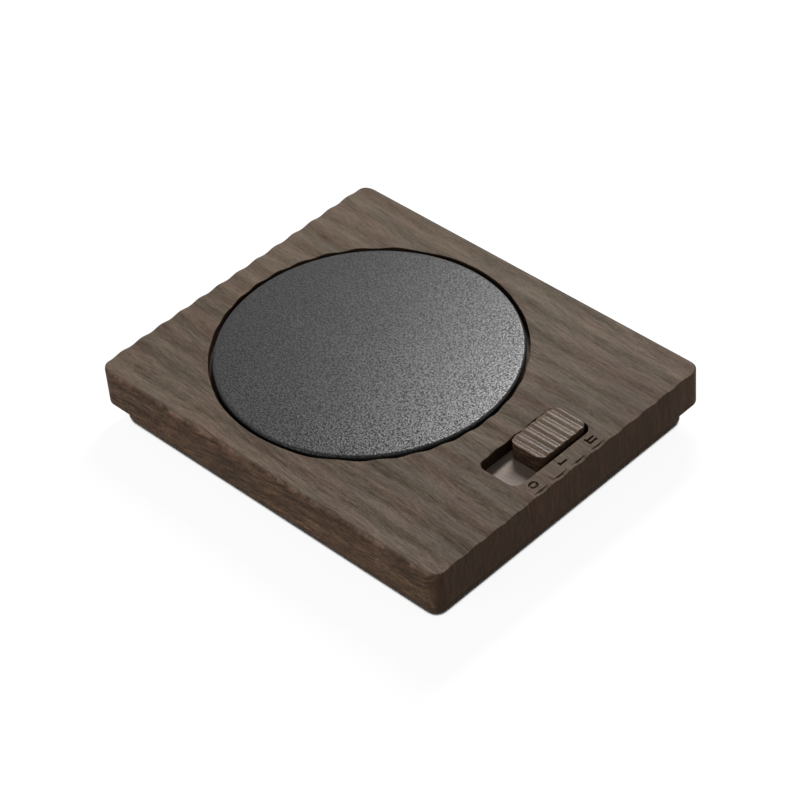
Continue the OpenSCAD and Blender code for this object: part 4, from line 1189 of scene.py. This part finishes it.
class WARMER_OT_base(bpy.types.Operator):
    """Builds the base with its rounded lower edge, screw recesses and foot recesses"""

    bl_idname = "warmer.base"
    bl_label = "Base"

    def execute(self, context):
        b = sizes("warmer_base")
        long_x = HOUSING_HIGH.x - HOUSING_LOW.x - 2 * b.inset
        long_y = HOUSING_HIGH.y - HOUSING_LOW.y - 2 * b.inset
        low, top, shelf, floor = BASE_LOW.z, BASE_HIGH.z, HOUSING_LOW.z, BASE_LOW.z + b.floor
        form = Form()
        outer = rounded_outline((0, 0), long_x, long_y, b.corner, BASE_STEPS)
        flange = rounded_outline((0, 0), BASE_HIGH.x - BASE_LOW.x, BASE_HIGH.y - BASE_LOW.y,
                                 b.flange_r, BASE_STEPS)
        cavity = rounded_outline((0, 0), long_x - 2 * b.wall, long_y - 2 * b.wall,
                                 b.corner - b.wall, BASE_STEPS)
        edge_top, edge_low = form.rolled_foot(outer, b.edge, low, steps=6)
        levels = ((outer, low + b.edge + EDGE_BAND), (outer, shelf), (flange, shelf),
                  (flange, top), (cavity, top), (cavity, floor))
        loops = [form.level(outline, z) for outline, z in levels]
        form.chain([edge_top] + loops)

        # Recesses of the feet, recesses and bosses of the screws, and posts under the board
        below, above = [], []
        for place in four(FEET_HIGH.x - b.foot_r, FEET_HIGH.y - b.foot_r):
            radius = b.foot_r + b.foot_gap
            below.append(form.post(place, ((radius, low), (radius, low + b.foot_recess)),
                                   SCREW_RING))
        seat = low + b.bore_depth
        for place in screw_places(b):
            rings = form.turned(place, ((b.bore, low), (b.bore, seat), (b.shank, seat),
                                        (b.shank, shelf), (b.boss, shelf), (b.boss, floor)))
            below.append(rings[0])
            above.append(rings[-1])
        post_top = BOARD_LOW.z
        post = ((b.post, floor), (b.post, post_top), (b.post_pilot, post_top),
                (b.post_pilot, post_top - b.post_depth))
        for x in (BOARD_SCREWS_LOW.x + b.small_head_r, BOARD_SCREWS_HIGH.x - b.small_head_r):
            for y in (BOARD_SCREWS_LOW.y + b.small_head_r, BOARD_SCREWS_HIGH.y - b.small_head_r):
                above.append(form.post((x, y), post))
        form.fill(edge_low, below)
        form.fill(loops[-1], above)
        placed(form.piece("base"), "warmer", "walnut", walnut_finish(), "base_tray")
        return {"FINISHED"}


class WARMER_OT_plate(bpy.types.Operator):
    """Builds the heating plate with its rounded edge"""

    bl_idname = "warmer.plate"
    bl_label = "Heating plate"

    def execute(self, context):
        p = sizes("warmer_plate")
        r, low, high = (PLATE_HIGH.x - PLATE_LOW.x) / 2, PLATE_LOW.z, PLATE_HIGH.z
        profile = [(0, low), (r - p.rim, low)] + rounding(r, low, p.foot, steps=4, up=1)
        profile += rounding(r, high, p.edge, steps=12, up=-1)
        profile += [(r - p.edge - p.band, high), (r / 2, high), (0, high)]
        form = Form()
        form.lathe((PLATE_X, 0), profile, PLATE_RING)
        placed(form.piece("plate"), "warmer", "black_coating", coating_finish(), "heating_plate")
        return {"FINISHED"}


def knob_body(w):
    """Hollow knob with finger grooves across its top."""
    wide, deep, foot = KNOB_HIGH.x - KNOB_LOW.x, KNOB_HIGH.y - KNOB_LOW.y, CARRIAGE_HIGH.z

    def surface(x, y):
        """Waves whose troughs are a little narrower than their crests."""
        turn = 2 * math.pi * (y - KNOB.y) / w.flute_pitch
        narrow = w.trough * (math.cos(2 * turn) - 1)
        return KNOB_HIGH.z - w.flute / 2 * (1 - math.cos(turn) + narrow)

    form = Form()
    outer = rounded_outline((KNOB.x, KNOB.y), wide, deep, w.knob_r, KNOB_STEPS)
    wall_top, crown = form.rolled(outer, lambda nx, ny: w.knob_edge, surface, steps=6)
    foot_top, foot_low = form.rolled_foot(outer, w.knob_foot, foot, steps=3)
    cavity = rounded_outline((KNOB.x, KNOB.y), wide - 2 * w.knob_wall, deep - 2 * w.knob_wall,
                             w.knob_r - w.knob_wall, KNOB_STEPS)
    roof = form.level(cavity, KNOB_HIGH.z - w.knob_roof)
    form.chain([wall_top, form.lowered(wall_top, EDGE_BAND), foot_top])
    form.chain([foot_low, form.level(cavity, foot), roof])
    form.fill(roof)
    box = ((KNOB.x - wide / 2, KNOB.y - deep / 2), (KNOB.x + wide / 2, KNOB.y + deep / 2))
    form.relief(crown, surface, box, KNOB_GRID)
    return form.piece("knob")


def knob_legs(w):
    """Two legs with hooks that hold the knob in its carriage."""
    form = Form()
    bevel, tip, root = w.hook_bevel, KNOB_LOW.z, KNOB_HIGH.z - w.knob_roof
    seat = tip + w.hook
    leg_y = (KNOB_HIGH.y - KNOB_LOW.y) / 2 - w.knob_wall - w.leg_t
    for side in SIDES:
        inner, outer = (KNOB.y + side * (leg_y + way * w.leg_t / 2) for way in SIDES)
        catch = outer + side * w.hook
        profile = [(inner, root), (outer, root), (outer, seat), (catch, seat - bevel),
                   (catch - side * bevel, seat - 2 * bevel), (outer, tip),
                   (inner + side * 2 * bevel, tip), (inner, tip + 2 * bevel)]
        form.tube([form.loop([(KNOB.x + end * w.leg_w / 2, y, z) for y, z in profile])
                   for end in SIDES])
    return form.piece("knob_legs")


class WARMER_OT_knob(bpy.types.Operator):
    """Builds the sliding knob with its finger grooves and its two legs"""

    bl_idname = "warmer.knob"
    bl_label = "Knob"

    def execute(self, context):
        w, looks = sizes("warmer_switch"), context.scene.warmer_looks
        # The knob's upright faces get painted shade and its rounded edges a strong painted
        # highlight
        finish = walnut_finish("Walnut of the knob", "knob", shift=60.0, gloss=looks.knob_gloss,
                               rough=looks.knob_rough, fine=1.1, bend=0.3, sides=0.75, edge_light=1.9)
        placed(knob_body(w), "slider", "walnut", finish, "slide_knob")
        placed(knob_legs(w), "slider", "walnut", finish)
        return {"FINISHED"}


class WARMER_OT_feet(bpy.types.Operator):
    """Builds the four rubber feet"""

    bl_idname = "warmer.feet"
    bl_label = "Feet"

    def execute(self, context):
        b = sizes("warmer_base")
        r, low, high = b.foot_r, FEET_LOW.z, FEET_HIGH.z
        profile = [(r * out, low + b.foot_ring * up) for out, up in FOOT_RING_SHARES]
        profile += rounding(r, low, b.foot_edge, steps=6, up=1) + [(r, high), (0, high)]
        form = Form()
        for place in four(FEET_HIGH.x - r, FEET_HIGH.y - r):
            form.lathe(place, profile, FOOT_RING)
        placed(form.piece("feet"), "warmer", "black_rubber", rubber_finish(), "rubber_feet")
        return {"FINISHED"}


def base_screw(form, b, place):
    """One base screw: a domed head with a cross recess, a turned thread and a blunt point."""
    low, high = SCREWS_LOW.z, SCREWS_HIGH.z
    cx, cy = place

    def dome(x, y):
        return low + b.dome * ((x - cx) ** 2 + (y - cy) ** 2) / b.head_r ** 2

    rim = round_outline(place, b.head_r, SCREW_RING)
    rim_top, crown = form.rolled(rim, lambda nx, ny: b.head_edge, dome, steps=5, up=-1)
    arm, reach = b.cross_w / 2, b.cross_len / 2
    cross = [(cx + x, cy + y) for x, y in (
        (arm, -reach), (arm, -arm), (reach, -arm), (reach, arm), (arm, arm), (arm, reach),
        (-arm, reach), (-arm, arm), (-reach, arm), (-reach, -arm), (-arm, -arm),
        (-arm, -reach))]
    mouth = form.loop([(x, y, dome(x, y)) for x, y in finely(cross, parts=2)])
    pit = form.loop([(x, y, low + b.cross_depth)
                     for x, y in finely(shrunk(cross, b.cross_draft), parts=2)])
    form.fill(crown, lines=[(mouth, True), (pit, True)])

    seat, core = low + b.head_t, b.screw_r - b.thread_deep
    profile = [(b.head_r, seat)]
    for i in range(round((high - seat - b.plain) / b.thread)):
        z = seat + b.thread / 2 + i * b.thread
        profile += [(core, z), (b.screw_r, z + b.thread / 2)]
    profile += [(core, high - b.point), (b.point_r, high)]
    rings = form.turned(place, profile, SCREW_RING)
    form.join(rim_top, rings[0])
    form.cap(rings[-1])


class WARMER_OT_base_screws(bpy.types.Operator):
    """Builds the four screws under the base, with domed heads, cross recesses and threads"""

    bl_idname = "warmer.base_screws"
    bl_label = "Base screws"

    def execute(self, context):
        b = sizes("warmer_base")
        form = Form()
        for place in screw_places(b):
            base_screw(form, b, place)
        placed(form.piece("screws_under_base", FINE_SHARP), "warmer", "steel",
               metal_finish("Zinc screws", "#b4b6ba", 0.32), "base_screws")
        return {"FINISHED"}


class Inlet:
    """The power inlet, built part by part in millimetres."""

    def __init__(self):
        self.n = sizes("warmer_inlet")
        self.x, self.z = middle("inlet_shell").x, INLET_HIGH.z - self.n.height / 2
        self.wide = INLET_HIGH.x - INLET_LOW.x
        self.back, self.mouth = INLET_LOW.y, INLET_HIGH.y
        self.tip = self.mouth - self.n.tongue_back
        self.track = rounded_outline((self.x, self.z), self.wide, self.n.height,
                                     self.n.height / 2, INLET_STEPS)

    def section(self, form, grow, y):
        """The shell's outline at a depth, moved outwards."""
        return form.upright(moved_out(self.track, grow), y)

    def shell(self):
        """Metal shell with a rounded mouth and four legs through the board."""
        n, form = self.n, Form()
        loops = [self.section(form, -n.lip, self.back),
                 self.section(form, 0, self.back + n.lip)]
        for j in range(MOUTH_STEPS + 1):
            a = math.pi * j / MOUTH_STEPS
            loops.append(self.section(form, -n.wall / 2 * (1 - math.cos(a)),
                                      self.mouth - n.wall / 2 * (1 - math.sin(a))))
        form.tube(loops + [self.section(form, -n.wall, self.back + n.wall)])
        rows = ((self.z, n.leg_w / 2, n.wall), (BOARD_LOW.z, n.leg_w / 2, n.wall),
                (BOARD_LOW.z - n.leg_below, n.leg_w / 4, n.wall * LEG_TIP_SHARE))
        for side in SIDES:
            outer = self.x + side * self.wide / 2
            for y in (self.back + n.leg_in, BOARD_HIGH.y - n.leg_in):
                legs = []
                for z, half, thick in rows:
                    low, high = sorted((outer, outer - side * thick))
                    legs.append(form.loop([(low, y - half, z), (high, y - half, z),
                                           (high, y + half, z), (low, y + half, z)]))
                form.tube(legs)
        return form.piece("inlet")

    def tongue(self):
        """Block at the back with the tongue standing out of it."""
        n, form = self.n, Form()
        start = self.back + n.wall
        form.tube([self.section(form, -n.wall - n.block_gap, y) for y in (start, start + n.block)])
        loops = []
        for y, cut in ((start + n.block / 2, 0), (self.tip - n.tongue_bevel, 0),
                       (self.tip, n.tongue_taper)):
            shape = rounded_outline((self.x, self.z), n.tongue_w - 2 * cut,
                                    n.tongue_t - 2 * cut, n.tongue_r, TONGUE_STEPS)
            loops.append(form.upright(shape, y))
        form.tube(loops)
        return form.piece("inlet_blade")

    def strips(self):
        """Rows of contact strips on both sides of the tongue."""
        n, form = self.n, Form()
        step = (n.tongue_w - n.strip_margin) / (n.strips - 1)
        high = self.tip - n.strip_back
        low = high - n.strip_len
        for side in SIDES:
            face = self.z + side * n.tongue_t / 2
            for i in range(n.strips):
                x = self.x + (i - (n.strips - 1) / 2) * step
                form.tube([form.loop([(x - half, low + end, z), (x + half, low + end, z),
                                      (x + half, high - end, z), (x - half, high - end, z)])
                           for z, half, end in (
                               (face - side * n.strip_sunk, n.strip_w / 2, 0),
                               (face + side * n.strip_t, n.strip_w / 2 - n.strip_draft,
                                n.strip_t))])
        return form.piece("inlet_strips", FINE_SHARP)


class WARMER_OT_inlet(bpy.types.Operator):
    """Builds the power inlet: its metal shell with a rounded mouth, tongue and strips"""

    bl_idname = "warmer.inlet"
    bl_label = "Power inlet"

    def execute(self, context):
        work = Inlet()
        placed(work.shell(), "warmer", "steel",
               metal_finish("Inlet steel", "#b9bbbe", 0.3, (4.0, 0.3, 4.0)), "inlet_shell")
        placed(work.tongue(), "warmer", "black_nylon",
               plastic_finish("Inlet nylon", "#1c1c1f", 0.5), "inlet_tongue")
        placed(work.strips(), "warmer", "brass",
               metal_finish("Gilt strips", "#d9b25c", 0.25, (4.0, 0.4, 4.0)))
        return {"FINISHED"}


class WARMER_OT_finishes(bpy.types.Operator):
    """Gives each kept piece of the frame its own detailed finish"""

    bl_idname = "warmer.finishes"
    bl_label = "Kept pieces"

    def execute(self, context):
        looks = context.scene.warmer_looks
        steel = metal_finish("Steel", "#b0b2b6", 0.34)
        brass = metal_finish("Brass", "#c9a45a", 0.33)
        white = plastic_finish("White nylon", "#e4e2da", 0.5)
        black = plastic_finish("Black nylon", "#222226", 0.48)
        kept = {
            "plate_studs": steel, "clamp_plate": steel, "clamp_nuts": steel,
            "thermistor": steel, "clip_rivets": steel, "board_screws": steel,
            "guide_screws": steel, "switch_cover": steel, "board_capacitors": steel,
            "sensor_clip": brass, "fuse_clip": brass, "switch_contacts": brass,
            "switch_wiper": brass, "lead_header": white, "lead_plug": white,
            "switch_base": black, "switch_lever": black, "slider_guide": black,
            "controller_chip": plastic_finish("Chip resin", "#1b1b1d", 0.6, 5.0),
            "power_transistor": plastic_finish("Power chip resin", "#1f1f21", 0.58, 5.0),
            "board_resistors": plastic_finish("Resistor glaze", "#26262a", 0.3, 4.0),
            "thermal_fuse": plastic_finish("Glazed ceramic", "#eeece4", 0.25, 0.8),
            "plate_seal": rubber_finish(), "heater_film": foil_finish(),
            "insulation_pad": fibre_finish(), "control_board": board_finish(),
            "heater_leads": plastic_finish("Red lead", "#9c2f28", 0.42, 1.5),
            "fuse_link": plastic_finish("Red link", "#9c2f28", 0.42, 1.5),
            "sensor_leads": plastic_finish("Grey lead", "#8d8f92", 0.45, 1.5),
            "slider_carriage": walnut_finish("Smooth walnut", "floor", 0.15, 90.0,
                                             looks.floor_gloss, looks.floor_rough),
        }
        for name, finish in kept.items():
            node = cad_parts[name]
            node.data.materials.clear()
            node.data.materials.append(finish)
        bare = sorted(name for name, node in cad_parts.items()
                      if not node.hide_render and name not in kept)
        if bare:
            raise RuntimeError(f"no finish for {bare}")
        return {"FINISHED"}


# Stage


def floor_material(s):
    """Pale floor that looks white and still takes the object's shadow."""
    material = bpy.data.materials.new("Pale floor")
    material.use_nodes = True
    f = Nodes(material.node_tree)
    bounce, shadow = (f.node("ShaderNodeBsdfDiffuse", {"Color": (grey, grey, grey, 1)})
                      for grey in (s.bounce, s.shadow))
    # The glow that keeps the floor white is left out in the narrow gap under the base
    air = f.node("ShaderNodeAmbientOcclusion", {"Distance": s.gap * MM}, samples=16)
    lit = f.spread(air.outputs["AO"], s.gap_dark, s.gap_light, 0, s.glow)
    glow = f.node("ShaderNodeEmission", {"Strength": lit})
    white = f.node("ShaderNodeAddShader", {0: shadow.outputs[0], 1: glow.outputs[0]})
    mix = f.node("ShaderNodeMixShader", {0: f.seen(), 1: bounce.outputs[0],
                                         2: white.outputs[0]})
    f.node("ShaderNodeOutputMaterial", {0: mix.outputs[0]})
    return material


def surroundings(s):
    """White where they are seen, and a weak even light elsewhere."""
    world = bpy.data.worlds.new("Surroundings")
    world.use_nodes = True
    f = Nodes(world.node_tree)
    back = f.node("ShaderNodeBackground", {"Strength": f.spread(f.seen(), 0, 1, s.sky, 1)})
    f.node("ShaderNodeOutputWorld", {0: back.outputs[0]})
    return world


def lamp(name, power, place, target, across, along, warmth):
    """Soft lamp at a place, turned to a target, in millimetres; its long side runs along Y."""
    data = bpy.data.lights.new(name, "AREA")
    data.shape = "RECTANGLE"
    data.size, data.size_y = across * MM, along * MM
    data.energy = power
    data.color = warmth
    made = bpy.data.objects.new(name, data)
    bpy.context.scene.collection.objects.link(made)
    away = (Vector(place) - Vector(target)).normalized()
    level = Vector((0, 1, 0)).cross(away).normalized()
    turned = Matrix((level, away.cross(level), away)).transposed().to_4x4()
    made.matrix_world = Matrix.Translation(Vector(place) * MM) @ turned


class WARMER_OT_stage(bpy.types.Operator):
    """Builds the pale floor, the white surroundings and the soft lamps"""

    bl_idname = "warmer.stage"
    bl_label = "Stage"

    def execute(self, context):
        s = sizes("warmer_stage")
        half = s.floor / 2 * MM
        mesh = bpy.data.meshes.new("floor")
        mesh.from_pydata([(-half, -half, 0), (half, -half, 0), (half, half, 0), (-half, half, 0)],
                         [], [(0, 1, 2, 3)])
        floor = bpy.data.objects.new("floor", mesh)
        context.scene.collection.objects.link(floor)
        mesh.materials.append(floor_material(s))
        context.scene.world = surroundings(s)
        for name, power, *rest in (
                # name, power, place, target, size across and along, colour
                ("key", s.key, (-155, 292, 320), (0, 0, 20), 80, 240, (1, 1, 1)),
                ("fill", s.fill, (-60, -680, 240), (0, 0, 10), 360, 360, (1, 0.96, 0.92)),
                ("side", s.side, (520, 330, 230), (0, 0, 10), 260, 260, (1, 0.97, 0.94))):
            lamp(name, power, *rest)
        context.scene.view_settings.view_transform = "Standard"
        return {"FINISHED"}


class WARMER_PT_panel(bpy.types.Panel):
    """Lists the pieces that can be built"""

    bl_idname = "WARMER_PT_panel"
    bl_label = "Mug warmer"
    bl_space_type = "VIEW_3D"
    bl_region_type = "UI"
    bl_category = "Mug warmer"

    def draw(self, context):
        for kind in OPERATORS:
            self.layout.operator(kind.bl_idname, text=kind.bl_label)
        for name, group in GROUPS.items():
            box = self.layout.box()
            box.label(text=group.__doc__)
            for key in group.__annotations__:
                box.prop(getattr(context.scene, name), key)


GROUPS = {
    "warmer_housing": WarmerHousingSizes,
    "warmer_switch": WarmerSwitchSizes,
    "warmer_base": WarmerBaseSizes,
    "warmer_plate": WarmerPlateSizes,
    "warmer_inlet": WarmerInletSizes,
    "warmer_looks": WarmerLooks,
    "warmer_stage": WarmerStageSizes,
}
OPERATORS = (
    WARMER_OT_camera,
    WARMER_OT_housing,
    WARMER_OT_base,
    WARMER_OT_plate,
    WARMER_OT_knob,
    WARMER_OT_feet,
    WARMER_OT_base_screws,
    WARMER_OT_inlet,
    WARMER_OT_finishes,
    WARMER_OT_stage,
)
CLASSES = (*GROUPS.values(), *OPERATORS, WARMER_PT_panel)


def register():
    for kind in CLASSES:
        bpy.utils.register_class(kind)
    for name, kind in GROUPS.items():
        setattr(bpy.types.Scene, name, PointerProperty(type=kind))


def unregister():
    for name in GROUPS:
        delattr(bpy.types.Scene, name)
    for kind in reversed(CLASSES):
        bpy.utils.unregister_class(kind)


def main():
    register()
    for kind in OPERATORS:
        group, name = kind.bl_idname.split(".")
        getattr(getattr(bpy.ops, group), name)()


if __name__ == "__main__":
    main()
